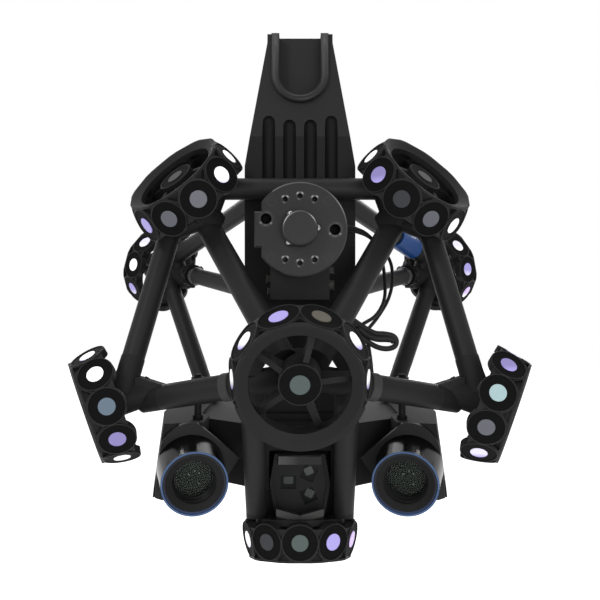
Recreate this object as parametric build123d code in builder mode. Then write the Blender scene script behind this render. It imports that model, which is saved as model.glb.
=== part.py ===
from build123d import *
from math import cos, pi, radians, sin, sqrt, tan
import os

# Optical three-dimensional scanner for a robot arm, built as a truss of round tubes.
# Origin: centre of the coupling plate's front face. -Y is the direction of scanning,
# +Z runs up along the arm and +X lies to the right of somebody who faces the lenses.
# All sizes are in millimetres. The part is symmetric about X = 0 unless a comment says so.

# Target rings: ten flat facets on a cone, each with a round reflector, and five spokes
FACETS = 10
SPOKES = 5
CONE = 12.0                 # tilt of the facets towards the ring's outer end, degrees
RING_SIZE = 35.2            # circle radius for which the band's section below holds
BAND_HALF = 12.6            # half the width of the band, along the facet
BAND_ROOT = 8.0             # where the faceted band ends, behind the reflectors' plane
CORNER_STAND = 0.8          # how far the band's rounded corners stand outside its facets
CUP_R = 11.7                # round end of each facet on the tube side
CUP_WALL = 4.6
RIM_WIDTH = 6.1             # annular face at the ring's outer end
RIM_LAND = 0.8              # flat outer edge of that face
RIM_SINK = 2.8              # how far the rest of it slopes in towards the hub
RIM_THICK = 2.8
RING_WALL = 5.2             # wall of the band at its root
POCKET_SIDE = 4.2
POCKET_TOP = 11.0
POCKET_TIP = 6.2
POCKET_DEPTH = 2.6
LIP_INSET = 0.4             # plain round lip on the lower half of the front ring
LIP_THICK = 2.0
LIP_BELOW = 12.0
FRONT_SPOKE_TURN = 3.0      # turn of the front ring's spokes, degrees
DOT_R = 5.25
HUB_DOT_R = 5.75
DOT_THICK = 0.6
HUB_R = 12.3
HUB_FRONT = 9.4             # hub face, in front of the reflectors' plane
HUB_BACK = -9.0
SPOKE_THICK = 3.4
SPOKE_FRONT_HUB = 6.5
SPOKE_FRONT_RIM = 1.5
SPOKE_BACK = -8.6
HUB_SCREW_R = 3.0
HUB_SCREW_HEAD_R = 5.0
HUB_SCREW_HEAD = 5.0
HUB_SCREW_SEAT = 3.0        # where the head sits inside the hub
HUB_SCREW_BITE = 13.0       # length held in the stem
BASE_SCREW_BITE = 5.0
SCREW_PLAY = 0.05
HEAD_PLAY = 0.2

# Ring places: centre of the reflectors' circle, outward axis, circle radius, turn of the first facet
FRONT_RING = ((0, -44.0, -89.3), (0, -0.971, -0.240), 38.6, 0.0)
BASE_RING = ((0, 27.1, -201.6), (0, -0.205, -0.979), 35.2, 18.0)
UPPER_RING = ((-78.8, 38.7, 32.1), (-0.539, -0.495, 0.682), 37.5, 333.4)
SIDE_RING_LEFT = ((-126.2, 12.4, -113.0), (-0.894, -0.326, -0.307), 35.3, 8.4)
SIDE_RING_RIGHT = ((126.2, 12.4, -113.0), (0.894, -0.326, -0.307), 35.3, 13.4)
REAR_RING_LEFT = ((-125.0, 203.0, -15.5), (-0.820, 0.490, 0.296), 35.2, 2.5)
REAR_RING_RIGHT = ((125.0, 203.0, -15.5), (0.820, 0.490, 0.296), 35.2, 4.0)

# Tubes
MAIN_TUBE = 16.6
SIDE_TUBE = 15.0
STRUT_TUBE = 14.6
LOWER_STRUT_TUBE = 13.2
COLUMN_TOP = 16.0
COLUMN_FOOT = 13.4
TUBE_WALL = 1.6
SPIGOT_LENGTH = 9.0
SPIGOT_PLAY = 0.05
TUBE_CLEAR = 26.0           # length of each tube that its node keeps clear of
STEM_R = 9.6

# Coupling plate, on the bolt circle of a small robot flange
PLATE_R = 29.8
PLATE_THICK = 10.0
PLATE_FLAT_X = -24.3
PLATE_TAB_X = -28.8
PLATE_TAB_Z = 11.3
PLATE_CHAMFER = 0.9
FLANGE_PCD = 50.0
FLANGE_SCREW_R = 3.0
TOOL_HOLE_R = 1.65          # tapping hole for M4
TOOL_HOLE_CIRCLE = 21.1
TOOL_HOLE_STEP = 26.0
GUIDE_BORE_R = 3.3
GUIDE_BORE_AT = ((-21.3, 6.7), (22.1, -0.1))
TOOL_HOLE_DEPTH = 8.0
GUIDE_BORE_DEPTH = 9.0
HOLE_CHAMFER = 1.1

# Lock: a hollow boss, three balls in its wall and a cone that spreads them
BOSS_R = 11.2
BOSS_BORE_R = 8.6
BOSS_FRONT = 10.0
BOSS_CAP = 1.5
BOSS_CHAMFER = 1.4
BALL_R = 2.5
BALL_PLAY = 0.06
BALL_PLANE = 3.4            # in front of the plate's face
BALL_AT = 10.7              # radius of the ball centres when the lock is shut
BALL_ANGLES = (3.0, 123.0, 232.0)
CAM_SLOPE = 0.5
PISTON_PLAY = 0.06
LOCK_BORE = 8.0             # bore of the adapter behind the boss
PISTON_LENGTH = 20.0
PISTON_NOSE_GAP = 0.3

# Adapter block between the plate and the arm
ADAPTER_R = 28.0
ADAPTER_DISC = 9.0
BLOCK_WIDTH = 38.0
BLOCK_TOP = 21.0
BLOCK_BOTTOM = -44.0

# Arm: flat housing behind the plate that narrows upwards
ARM_FRONT = 58.0
ARM_BACK = 104.0
ARM_HALF = 39.0
ARM_FLARE_Z = 50.0
ARM_NECK_Z = 140.0
ARM_TOP = 146.5
ARM_NECK_HALF = 23.4
ARM_LEAN_Z = 71.0
ARM_LEAN = 10.0
ARM_BOTTOM = -44.0
ARM_WALL = 3.0
ARM_COVER = 4.0
FLUTE_PITCH = 14.7
FLUTE_R = 4.6
FLUTE_TOP = 86.5
FLUTE_TOP_INNER = 83.5
FLUTE_BOTTOM = 22.0
SLOT_HALF = 14.8
SLOT_RIM = 5.6
SLOT_RIM_RISE = 2.2
SLOT_DEPTH = 9.0
SLOT_CENTRE_Z = 115.5
CAVITY_TOP = 74.0
CAVITY_TOP_HALF = 32.0
END_BOLT_Y = 88.0           # bolts in the arm's end face
END_BOLT_X = 34.0
END_BOLT_SPACING = 14.0
END_BOLT_R = 2.1            # tapping hole for M5
END_BOLT_DEPTH = 14.0
SADDLE_WIDTH = 30.0
SADDLE_TOP = 39.0
CROSS_BAR_Y = 49.0
CROSS_BAR_Z = 32.5

# Tail of the arm, which carries the sensor head's middle body
TAIL_FRONT = 62.0
TAIL_BACK = 74.0
TAIL_OUTLINE = ((39.0, -41.0), (39.0, -44.0), (30.0, -64.0), (19.0, -78.0), (19.0, -102.0), (28.0, -116.0))
TAIL_FOOT = (66.0, 28.0)    # width and depth of the foot on the body
TAIL_FOOT_THICK = 5.0

# Sensor head: two lens barrels on slanting face plates, and a laser projector between them
LENS_AT = (-66.0, 0.0, -159.9)   # centre of the left light ring's front
LENS_AXIS = (0.2228, -0.9649, -0.1392)
BARREL_LENGTH = 30.0        # from the light ring's front to the face plate
BARREL_FRONT_R = 21.2
BARREL_BACK_R = 22.5
BARREL_SPIGOT_R = 17.0      # the part that passes through the face plate
LIGHT_RING_IN = 20.2
LIGHT_RING_THICK = 1.0
BARREL_LIP = 0.6
CONE_MOUTH_R = 18.4
LENS_OPENING_R = 14.8
LENS_OPENING_DEPTH = 3.2
GLASS_R = 13.2
GLASS_DEPTH = 11.0
GLASS_THICK = 3.0
STOP_R = 11.6
STOP_THICK = 2.0
LENS_GROUP_R = 12.8
LENS_DOME_R = 10.5
LENS_DOME_RISE = 1.6
SEAT_PLAY = 0.05
HOOD_THICK = 4.0
POD_FRONT = 20.0
POD_BACK = 160.0
POD_TOP = -126.0
POD_BOTTOM = -176.0
POD_EDGE = 2.5
POD_SIDE = -102.0
POD_LEAN_AT = (-90.0, 25.0, -126.0)   # a point and the outward normal of the left pod's leaning side
POD_LEAN = (-0.9747, -0.1682, 0.146)
POD_INNER = -64.3
POD_INNER_BACK = 60.0
BODY_TOP = -129.0
BODY_BOTTOM = -172.0
BODY_SPLIT = -152.0
BODY_NOSE = (-24.0, 33.0)
BODY_SHOULDER = (-71.0, 71.0)
BODY_BACK = 160.0
SHELL_WALL = 2.4
NOTCH_PLAY = 0.6
LASER_FRONT = 24.0
LASER_BACK = 62.0
LASER_TOP = -146.0
LASER_BOTTOM = -185.0
LASER_HALF = 16.6
LASER_WAIST = 20.0
LASER_BORDER = 2.2
PLATE_RECESS = 1.6
WINDOW_DEPTH = 2.2
WINDOW_THICK = 1.2
# centre across and up, width, height and turn of each laser window
WINDOWS = ((-7.7, -164.7, 10.2, 8.7, 0), (5.8, -158.8, 9.4, 9.4, -25), (5.8, -173.5, 9.4, 9.4, 25))
BROW_HALF = 14.0
BROW_RISE = 4.0
BROW_HEIGHT = 6.0
KEEL_HALF = 27.0            # keel under the body, behind the laser
KEEL_FRONT = 40.0
KEEL_TOP = -172.6
KEEL_DEPTH = 28.0
KEEL_GAP = 13.5             # between the keel and the base reflectors' plane

# Carriers of the sensor head
BRACKET_IN = -24.0
BRACKET_OUT = -36.0
BRACKET_FRONT = 6.5
BRACKET_TOP = -134.0
BRACKET_HEIGHT = 12.0
HANGER_AT = (-70.0, 44.0)
HANGER_FRONT = 13.0
HANGER_TOP = -101.0
HANGER_ROD_R = 2.5
HANGER_NUT_R = 4.6
HANGER_NUT = 4.0
HANGER_FOOT_R = 3.6
HANGER_WIDTH = 10.0
HANGER_THICK = 6.0
SHOE_R = 10.5
SHOE_THICK = 3.0
SHOE_AT = (-76.0, 150.0, -124.0)
SHOE_REACH = 10.0           # from the foot point to the tube's end
SLEEVE_R = 8.9
SLEEVE_START = 40.0         # from the strut's outer end
SLEEVE_LENGTH = 34.0
CABLE_R = 1.2


def unit(vector):
    """The vector at length one."""
    return Vector(*vector).normalized()


def mirrored(point):
    """The same point on the other side of the middle plane."""
    return (-point[0], point[1], point[2])


def mirrored_ring(ring):
    """A ring's centre, axis, radius and turn, mirrored about the middle plane."""
    centre, axis, radius, turn = ring
    return (mirrored(centre), mirrored(axis), radius, 180.0 - turn)


def ring_plane(ring):
    """Plane of a ring's reflectors: z outward, x towards the first facet."""
    centre, axis, _, turn = ring
    outward = unit(axis)
    level = Vector(0, 0, 1).cross(outward).normalized()
    rise = outward.cross(level)
    first = level * cos(radians(turn)) + rise * sin(radians(turn))
    return Plane(origin=centre, x_dir=(first.X, first.Y, first.Z), z_dir=(outward.X, outward.Y, outward.Z))


def facet_plane(plane, radius, number):
    """Plane of one facet: z is the facet's outward normal, origin at the reflector's centre."""
    angle = 2 * pi * number / FACETS
    radial = plane.x_dir * cos(angle) + plane.y_dir * sin(angle)
    normal = radial * cos(radians(CONE)) + plane.z_dir * sin(radians(CONE))
    across = plane.y_dir * cos(angle) - plane.x_dir * sin(angle)
    return Plane(origin=plane.origin + radial * radius, x_dir=across, z_dir=normal)


def radial_plane(plane, angle):
    """Plane through the ring's axis: x runs outwards at the angle, y along the axis."""
    radial = plane.x_dir * cos(radians(angle)) + plane.y_dir * sin(radians(angle))
    return Plane(origin=plane.origin, x_dir=radial, z_dir=radial.cross(plane.z_dir))


def axis_point(ring, distance):
    """Point on a ring's axis, the distance being positive outwards."""
    centre, axis, _, _ = ring
    return Vector(*centre) + unit(axis) * distance


def between(start, end):
    """Plane at the start with z towards the end, and the distance from one to the other."""
    start = Vector(*start)
    end = Vector(*end)
    run = end - start
    return Plane(origin=start, z_dir=run), run.length


def along(start, end, distance):
    """Point at a distance from the start, on the line to the end."""
    start = Vector(*start)
    return start + (Vector(*end) - start).normalized() * distance


def save(builder, name):
    """Label a finished piece and write it."""
    builder.part.label = name
    export_step(builder.part, "parts/" + name + ".step")


def make_ring(ring, name, spoke_turn=0, lip=False):
    """Target ring: a faceted band with round cups, a funnel-shaped rim, five spokes and a hub."""
    plane = ring_plane(ring)
    radius = ring[2]
    size = radius / RING_SIZE
    half = BAND_HALF * size * cos(radians(CONE))
    root = BAND_ROOT * size
    slope = tan(radians(CONE))
    edge = radius - half * slope
    rim_in = edge - RIM_WIDTH * size
    inside = radius - RING_WALL * size
    under_rim = half - (RIM_SINK + RIM_THICK) * size
    with BuildPart() as wheel:
        with BuildSketch(plane.offset(-root)):
            RegularPolygon(radius + root * slope, FACETS, major_radius=False, rotation=180 / FACETS)
        with BuildSketch(plane.offset(half)):
            RegularPolygon(edge, FACETS, major_radius=False, rotation=180 / FACETS)
        loft()
        with BuildSketch(plane.offset(-root)):
            Circle(radius + root * slope + CORNER_STAND)
        with BuildSketch(plane.offset(half)):
            Circle(edge + CORNER_STAND)
        loft(mode=Mode.INTERSECT)
        for number in range(FACETS):
            with BuildSketch(facet_plane(plane, radius, number)):
                Circle(CUP_R * size)
            extrude(amount=-CUP_WALL)
        if lip:
            with BuildSketch(plane.offset(half - LIP_THICK)):
                Circle(radius - LIP_INSET)
                with Locations((0, radius - LIP_BELOW)):
                    Rectangle(2 * radius, 2 * radius, mode=Mode.SUBTRACT)
            extrude(amount=LIP_THICK)
        with BuildSketch(radial_plane(plane, 0)):
            with BuildLine():
                Polyline((0, half + 1), (edge - RIM_LAND, half + 1), (edge - RIM_LAND, half),
                         (rim_in, half - RIM_SINK * size), (rim_in, under_rim), (inside, under_rim - 4),
                         (inside, -2 * BAND_HALF), (0, -2 * BAND_HALF), close=True)
            make_face()
        revolve(axis=Axis(plane.origin, plane.z_dir), mode=Mode.SUBTRACT)
        for number in range(FACETS):
            angle = 2 * pi * (number + 0.5) / FACETS
            radial = plane.x_dir * cos(angle) + plane.y_dir * sin(angle)
            across = plane.y_dir * cos(angle) - plane.x_dir * sin(angle)
            corner = radius / cos(pi / FACETS)
            with BuildSketch(Plane(origin=plane.origin + radial * corner, x_dir=across, z_dir=radial)):
                with BuildLine():
                    Polyline((-POCKET_SIDE * size, POCKET_TOP * size), (POCKET_SIDE * size, POCKET_TOP * size),
                             (0, POCKET_TIP * size), close=True)
                make_face()
            extrude(amount=POCKET_DEPTH * size + half * slope, both=True, mode=Mode.SUBTRACT)
        with BuildSketch(plane.offset(HUB_BACK)):
            Circle(HUB_R)
        extrude(amount=HUB_FRONT - HUB_BACK)
        for number in range(SPOKES):
            with BuildSketch(radial_plane(plane, spoke_turn + 360 * number / SPOKES)):
                with BuildLine():
                    Polyline((HUB_R - 1, SPOKE_BACK), (HUB_R - 1, SPOKE_FRONT_HUB),
                             (inside + 1, SPOKE_FRONT_RIM), (inside + 1, 0.5 * SPOKE_BACK), close=True)
                make_face()
            extrude(amount=SPOKE_THICK / 2, both=True)
        with BuildSketch(plane.offset(HUB_BACK)):
            Circle(HUB_SCREW_R + SCREW_PLAY)
        extrude(amount=HUB_SCREW_SEAT - HUB_BACK, mode=Mode.SUBTRACT)
        with BuildSketch(plane.offset(HUB_SCREW_SEAT)):
            Circle(HUB_SCREW_HEAD_R + HEAD_PLAY)
        extrude(amount=HUB_FRONT - HUB_SCREW_SEAT, mode=Mode.SUBTRACT)
    save(wheel, name)


def make_tube(start, end, diameter, name, wall=TUBE_WALL):
    """Round tube with square ends."""
    plane, length = between(start, end)
    with BuildPart() as tube:
        with BuildSketch(plane):
            Circle(diameter / 2)
            Circle(diameter / 2 - wall, mode=Mode.SUBTRACT)
        extrude(amount=length)
    save(tube, name)


def make_arm_strut(outer_end, arm_end, diameter, name):
    """Round tube whose inner end is cut flat to lie on the arm's side."""
    plane, length = between(outer_end, arm_end)
    side = 1 if arm_end[0] > 0 else -1
    with BuildPart() as strut:
        with BuildSketch(plane):
            Circle(diameter / 2)
            Circle(diameter / 2 - TUBE_WALL, mode=Mode.SUBTRACT)
        extrude(amount=length + 2 * diameter)
        split(bisect_by=Plane(origin=(side * ARM_HALF, 0, 0), z_dir=(side, 0, 0)), keep=Keep.TOP)
    save(strut, name)


def make_column(top, foot, name):
    """Tapered tube between the front node and the base ring."""
    plane, length = between(top, foot)
    with BuildPart() as column:
        with BuildSketch(plane):
            Circle(COLUMN_TOP / 2)
        with BuildSketch(plane.offset(length)):
            Circle(COLUMN_FOOT / 2)
        loft()
        with BuildSketch(plane):
            Circle(COLUMN_FOOT / 2 - TUBE_WALL)
        extrude(amount=length, mode=Mode.SUBTRACT)
    save(column, name)


def make_node(ring, stem_end, stubs, spigots, bite=HUB_SCREW_BITE, webs=()):
    """Cast node behind a ring: a stem on the ring's axis, stubs towards the tubes and a screw hole.

    Each stub is (start, end, radius). Each spigot is (tube end, towards, outer radius of the tube).
    Each web is the front outline of a flat rib between the stubs.
    """
    plane = ring_plane(ring)
    with BuildPart() as node:
        with BuildSketch(plane.offset(HUB_BACK)):
            Circle(STEM_R)
        extrude(amount=stem_end - HUB_BACK)
        chamfer(node.edges().filter_by(GeomType.CIRCLE).sort_by(Axis(plane.origin, plane.z_dir))[0], 1.5)
        for start, end, stub_radius in stubs:
            stub_plane, length = between(start, end)
            with BuildSketch(stub_plane):
                Circle(stub_radius)
            extrude(amount=length)
        for outline in webs:
            with BuildSketch(Plane(origin=(0, WEB_BACK, 0), x_dir=(1, 0, 0), z_dir=(0, -1, 0))):
                with BuildLine():
                    Polyline(*outline, close=True)
                make_face()
            extrude(amount=WEB_THICK)
        for start, towards, tube_radius in spigots:
            spigot_plane, _ = between(start, towards)
            with BuildSketch(spigot_plane):
                Circle(tube_radius + SPIGOT_PLAY)
            extrude(amount=TUBE_CLEAR, mode=Mode.SUBTRACT)
            with BuildSketch(spigot_plane):
                Circle(tube_radius - TUBE_WALL - SPIGOT_PLAY)
            extrude(amount=SPIGOT_LENGTH)
        with BuildSketch(plane.offset(HUB_BACK)):
            Circle(HUB_SCREW_R + SCREW_PLAY)
        extrude(amount=-bite - 1, mode=Mode.SUBTRACT)
    return node


os.makedirs("parts", exist_ok=True)

# Places of the tubes: nodes' reference points and the ends of every tube's centre line
STEM_END = -36.0
FRONT_STEM_END = -31.0
BASE_STEM_END = -14.5
SIDE_STEM_END = -33.0
FRONT_HEART = (0, -17.0, -90.0)
SIDE_HEART = (-103.0, 21.5, -110.0)
V_TOP = (-61.0, 50.0, 1.5)
V_FOOT = (-20.7, -11.0, -62.3)
LEG_TOP = (-92.2, 52.0, -3.9)
LEG_FOOT = (-112.0, 21.0, -91.5)
BAR_END = (-50.0, CROSS_BAR_Y, CROSS_BAR_Z)
SIDE_TUBE_IN = 48.0         # length of the front node's side arms, along the tube
SIDE_TUBE_OUT = 15.0
COLUMN_START = 32.0         # where the columns leave the side arms, from the middle plane
COLUMN_FOOT_AT = (-28.5, 18.6, -181.0)
COLUMN_STUB = 12.5
WEB_BACK = -10.0            # ribs of the front node between the V stubs and the side arms
WEB_THICK = 4.5
WEB_OUTLINE = ((16.0, -64.0), (26.0, -62.0), (34.0, -72.0), (36.0, -90.0), (25.5, -90.5), (18.1, -78.6))
SOLE_LENGTH = 11.0
SOLE_END = -12.8            # where the columns' soles end, behind the base reflectors' plane
DISC_R = 29.4               # disc of the base node, inside the cups
DISC_FRONT = -9.2
DISC_THICK = 3.7
LEDGE_HALF = 15.0           # V-shaped ledge on the disc, in front of the laser
LEDGE_MIDDLE = ((16.0, -183.2), (10.0, -186.8), (10.0, -187.5), (16.0, -189.0))
LEDGE_END = ((16.0, -178.8), (10.0, -182.0), (10.0, -186.0), (16.0, -188.0))
UPPER_STRUT = ((-ARM_HALF, 88.0, 25.0), (-109.1, 188.6, -5.9))
LOWER_STRUT = ((-ARM_HALF, 87.0, -36.5), (-104.0, 190.0, -20.0))
REAR_LEG = ((-115.9, 190.9, -25.7), SHOE_AT)
STRUT_STUB = 13.0

column_head = along(FRONT_HEART, SIDE_HEART, COLUMN_START)
column_top = along(column_head, COLUMN_FOOT_AT, COLUMN_STUB)
side_inner = along(FRONT_HEART, SIDE_HEART, SIDE_TUBE_IN)
side_outer = along(SIDE_HEART, FRONT_HEART, SIDE_TUBE_OUT)


def sides(point, side):
    """The point on the left for side -1, its mirror image on the right for side 1."""
    point = Vector(*point)
    return (point.X if side < 0 else -point.X, point.Y, point.Z)


RING_NAMES = {
    "front": FRONT_RING,
    "base": BASE_RING,
    "upper_left": UPPER_RING,
    "upper_right": mirrored_ring(UPPER_RING),
    "side_left": SIDE_RING_LEFT,
    "side_right": SIDE_RING_RIGHT,
    "rear_left": REAR_RING_LEFT,
    "rear_right": REAR_RING_RIGHT,
}
for place, ring in RING_NAMES.items():
    if place == "front":
        make_ring(ring, "target_ring_" + place, FRONT_SPOKE_TURN, True)
    else:
        make_ring(ring, "target_ring_" + place)

# Round reflectors, one on each facet and one on each hub
with BuildPart() as reflectors:
    for ring in RING_NAMES.values():
        plane = ring_plane(ring)
        for number in range(FACETS):
            with BuildSketch(facet_plane(plane, ring[2], number)):
                Circle(DOT_R * ring[2] / RING_SIZE)
            extrude(amount=DOT_THICK)
        with BuildSketch(plane.offset(HUB_FRONT)):
            Circle(HUB_DOT_R)
        extrude(amount=DOT_THICK)
save(reflectors, "reflectors")

# Nodes in the middle plane
front_node = make_node(
    FRONT_RING,
    FRONT_STEM_END,
    [(side_inner, FRONT_HEART, MAIN_TUBE / 2), (sides(side_inner, 1), FRONT_HEART, MAIN_TUBE / 2)]
    + [(column_top, column_head, COLUMN_TOP / 2), (sides(column_top, 1), sides(column_head, 1), COLUMN_TOP / 2)]
    + [(sides(V_FOOT, s), sides(along(V_FOOT, V_TOP, -26), s), MAIN_TUBE / 2) for s in (-1, 1)],
    [(side_inner, SIDE_HEART, MAIN_TUBE / 2), (sides(side_inner, 1), sides(SIDE_HEART, 1), MAIN_TUBE / 2)]
    + [(sides(column_top, s), sides(COLUMN_FOOT_AT, s), COLUMN_FOOT / 2) for s in (-1, 1)]
    + [(sides(V_FOOT, s), sides(V_TOP, s), MAIN_TUBE / 2) for s in (-1, 1)],
    webs=[[(s * across, up) for across, up in WEB_OUTLINE] for s in (-1, 1)],
)
save(front_node, "front_node")

# The base node's soles end short of the cups and stand on a disc, which also carries the ledge
column_sole = along(COLUMN_FOOT_AT, column_head, -SOLE_LENGTH)
base_plane = ring_plane(BASE_RING)
base_core = make_node(
    BASE_RING,
    BASE_STEM_END,
    [(sides(COLUMN_FOOT_AT, s), sides(column_sole, s), COLUMN_FOOT / 2) for s in (-1, 1)],
    [(sides(COLUMN_FOOT_AT, s), sides(column_head, s), COLUMN_FOOT / 2) for s in (-1, 1)],
    BASE_SCREW_BITE,
)
with BuildPart() as base_node:
    add(base_core.part)
    with BuildSketch(base_plane.offset(SOLE_END)):
        Circle(2 * DISC_R)
        Circle(STEM_R + 5, mode=Mode.SUBTRACT)
    extrude(amount=SOLE_LENGTH + 5, mode=Mode.SUBTRACT)
    with BuildSketch(base_plane.offset(DISC_FRONT)):
        Circle(DISC_R)
        Circle(STEM_R - 2, mode=Mode.SUBTRACT)
    extrude(amount=-DISC_THICK)
    for across, outline in ((-LEDGE_HALF, LEDGE_END), (0, LEDGE_MIDDLE), (LEDGE_HALF, LEDGE_END)):
        with BuildSketch(Plane.YZ.offset(across)):
            with BuildLine():
                Polyline(*outline, close=True)
            make_face()
    loft(ruled=True)
save(base_node, "base_node")

for side, word in ((-1, "left"), (1, "right")):
    upper = UPPER_RING if side < 0 else mirrored_ring(UPPER_RING)
    outer = SIDE_RING_LEFT if side < 0 else SIDE_RING_RIGHT
    rear = REAR_RING_LEFT if side < 0 else REAR_RING_RIGHT
    heart = axis_point(upper, -28)
    v_top = sides(V_TOP, side)
    v_foot = sides(V_FOOT, side)
    leg_top = sides(LEG_TOP, side)
    leg_foot = sides(LEG_FOOT, side)
    bar_end = sides(BAR_END, side)
    bar_root = sides((-58.0, CROSS_BAR_Y, CROSS_BAR_Z), side)
    upper_node = make_node(
        upper,
        STEM_END,
        [(v_top, along(v_top, v_foot, -14), MAIN_TUBE / 2),
         (leg_top, along(leg_top, leg_foot, -11), SIDE_TUBE / 2),
         (along(leg_top, leg_foot, -6), heart, 6.0),
         (bar_end, bar_root, SIDE_TUBE / 2),
         (along(bar_root, bar_end, 2), heart, 6.6)],
        [(v_top, v_foot, MAIN_TUBE / 2), (leg_top, leg_foot, SIDE_TUBE / 2),
         (bar_end, sides(bar_end, 1), SIDE_TUBE / 2)],
    )
    save(upper_node, "upper_node_" + word)
    make_tube(v_top, v_foot, MAIN_TUBE, "v_tube_" + word)
    make_tube(leg_top, leg_foot, SIDE_TUBE, "leg_tube_" + word)
    side_heart = sides(SIDE_HEART, side)
    side_node = make_node(
        outer,
        SIDE_STEM_END,
        [(leg_foot, along(leg_foot, leg_top, -9), SIDE_TUBE / 2),
         (sides(side_outer, side), side_heart, MAIN_TUBE / 2)],
        [(leg_foot, leg_top, SIDE_TUBE / 2), (sides(side_outer, side), FRONT_HEART, MAIN_TUBE / 2)],
    )
    save(side_node, "side_node_" + word)
    make_tube(sides(side_inner, side), sides(side_outer, side), MAIN_TUBE, "side_tube_" + word)
    make_column(sides(column_top, side), sides(COLUMN_FOOT_AT, side), "column_" + word)
    rear_heart = axis_point(rear, -26)
    upper_strut = [sides(point, side) for point in UPPER_STRUT]
    lower_strut = [sides(point, side) for point in LOWER_STRUT]
    rear_leg = [sides(point, side) for point in REAR_LEG]
    upper_end = along(upper_strut[1], upper_strut[0], STRUT_STUB)
    lower_end = along(lower_strut[1], lower_strut[0], STRUT_STUB)
    leg_end = along(rear_leg[0], rear_leg[1], STRUT_STUB)
    rear_node = make_node(
        rear,
        STEM_END,
        [(upper_end, upper_strut[1], STRUT_TUBE / 2),
         (upper_strut[1], rear_heart, 6.0),
         (lower_end, lower_strut[1], LOWER_STRUT_TUBE / 2),
         (leg_end, rear_leg[0], STRUT_TUBE / 2)],
        [(upper_end, upper_strut[0], STRUT_TUBE / 2), (lower_end, lower_strut[0], LOWER_STRUT_TUBE / 2),
         (leg_end, rear_leg[1], STRUT_TUBE / 2)],
    )
    save(rear_node, "rear_node_" + word)
    make_arm_strut(upper_end, upper_strut[0], STRUT_TUBE, "rear_upper_strut_" + word)
    make_arm_strut(lower_end, lower_strut[0], LOWER_STRUT_TUBE, "rear_lower_strut_" + word)
    make_tube(leg_end, along(rear_leg[1], rear_leg[0], SHOE_REACH), STRUT_TUBE, "rear_leg_strut_" + word)

make_tube(BAR_END, sides(BAR_END, 1), SIDE_TUBE, "cross_bar")

with BuildPart() as hub_screws:
    for place, ring in RING_NAMES.items():
        plane = ring_plane(ring)
        bite = BASE_SCREW_BITE if place == "base" else HUB_SCREW_BITE
        with BuildSketch(plane.offset(HUB_SCREW_SEAT)):
            Circle(HUB_SCREW_HEAD_R)
        extrude(amount=HUB_SCREW_HEAD)
        with BuildSketch(plane.offset(HUB_SCREW_SEAT)):
            Circle(HUB_SCREW_R)
        extrude(amount=HUB_BACK - HUB_SCREW_SEAT - bite)
save(hub_screws, "hub_screws")


# Coupling plate: sketches on FACE have X to the right, Z up and their normal towards the viewer
FACE = Plane(origin=(0, 0, 0), x_dir=(1, 0, 0), z_dir=(0, -1, 0))
screw_places = [(FLANGE_PCD / 2 * cos(radians(45 + 90 * k)), FLANGE_PCD / 2 * sin(radians(45 + 90 * k)))
                for k in range(4)]
tool_angles = [radians(middle + TOOL_HOLE_STEP * k) for middle in (90, 270) for k in (-1, 0, 1)]
tool_places = [(TOOL_HOLE_CIRCLE * cos(angle), TOOL_HOLE_CIRCLE * sin(angle)) for angle in tool_angles]

with BuildPart() as coupling_plate:
    with BuildSketch(FACE.offset(-PLATE_THICK)):
        Circle(PLATE_R)
        with Locations((PLATE_FLAT_X - PLATE_R, 0)):
            Rectangle(2 * PLATE_R, 3 * PLATE_R, mode=Mode.SUBTRACT)
        with Locations((PLATE_TAB_X / 2, 0)):
            Rectangle(-PLATE_TAB_X, 2 * PLATE_TAB_Z)
    extrude(amount=PLATE_THICK)
    chamfer(coupling_plate.faces().sort_by(Axis.Y)[0].outer_wire().edges(), PLATE_CHAMFER)
    with BuildSketch(FACE):
        Circle(BOSS_R + SCREW_PLAY)
        with Locations(*screw_places):
            Circle(FLANGE_SCREW_R + SCREW_PLAY)
    extrude(amount=-PLATE_THICK, mode=Mode.SUBTRACT)
    with Locations(FACE):
        with Locations(*tool_places):
            Hole(TOOL_HOLE_R, depth=TOOL_HOLE_DEPTH)
        with Locations(*GUIDE_BORE_AT):
            CounterSinkHole(GUIDE_BORE_R, GUIDE_BORE_R + HOLE_CHAMFER, depth=GUIDE_BORE_DEPTH, counter_sink_angle=90)
save(coupling_plate, "coupling_plate")

with BuildPart() as plate_screws:
    with BuildSketch(FACE):
        with Locations(*screw_places):
            Circle(FLANGE_SCREW_R)
    extrude(amount=-PLATE_THICK - ADAPTER_DISC)
save(plate_screws, "plate_screws")

# Lock: boss, cone-nosed piston and three balls
with BuildPart() as lock_boss:
    with BuildSketch(Plane.XY):
        with BuildLine():
            Polyline((BOSS_BORE_R, PLATE_THICK), (BOSS_R, PLATE_THICK), (BOSS_R, BOSS_CHAMFER - BOSS_FRONT),
                     (BOSS_R - BOSS_CHAMFER, -BOSS_FRONT), (0, -BOSS_FRONT), (0, BOSS_CAP - BOSS_FRONT),
                     (BOSS_BORE_R, BOSS_CAP - BOSS_FRONT), close=True)
        make_face()
    revolve(axis=Axis.Y)
    for angle in BALL_ANGLES:
        outward = Vector(cos(radians(angle)), 0, sin(radians(angle)))
        with BuildSketch(Plane(origin=Vector(0, -BALL_PLANE, 0) + outward * (BOSS_BORE_R - 1), z_dir=outward)):
            Circle(BALL_R + BALL_PLAY)
        extrude(amount=BOSS_R - BOSS_BORE_R + 2, mode=Mode.SUBTRACT)
save(lock_boss, "lock_boss")

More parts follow.
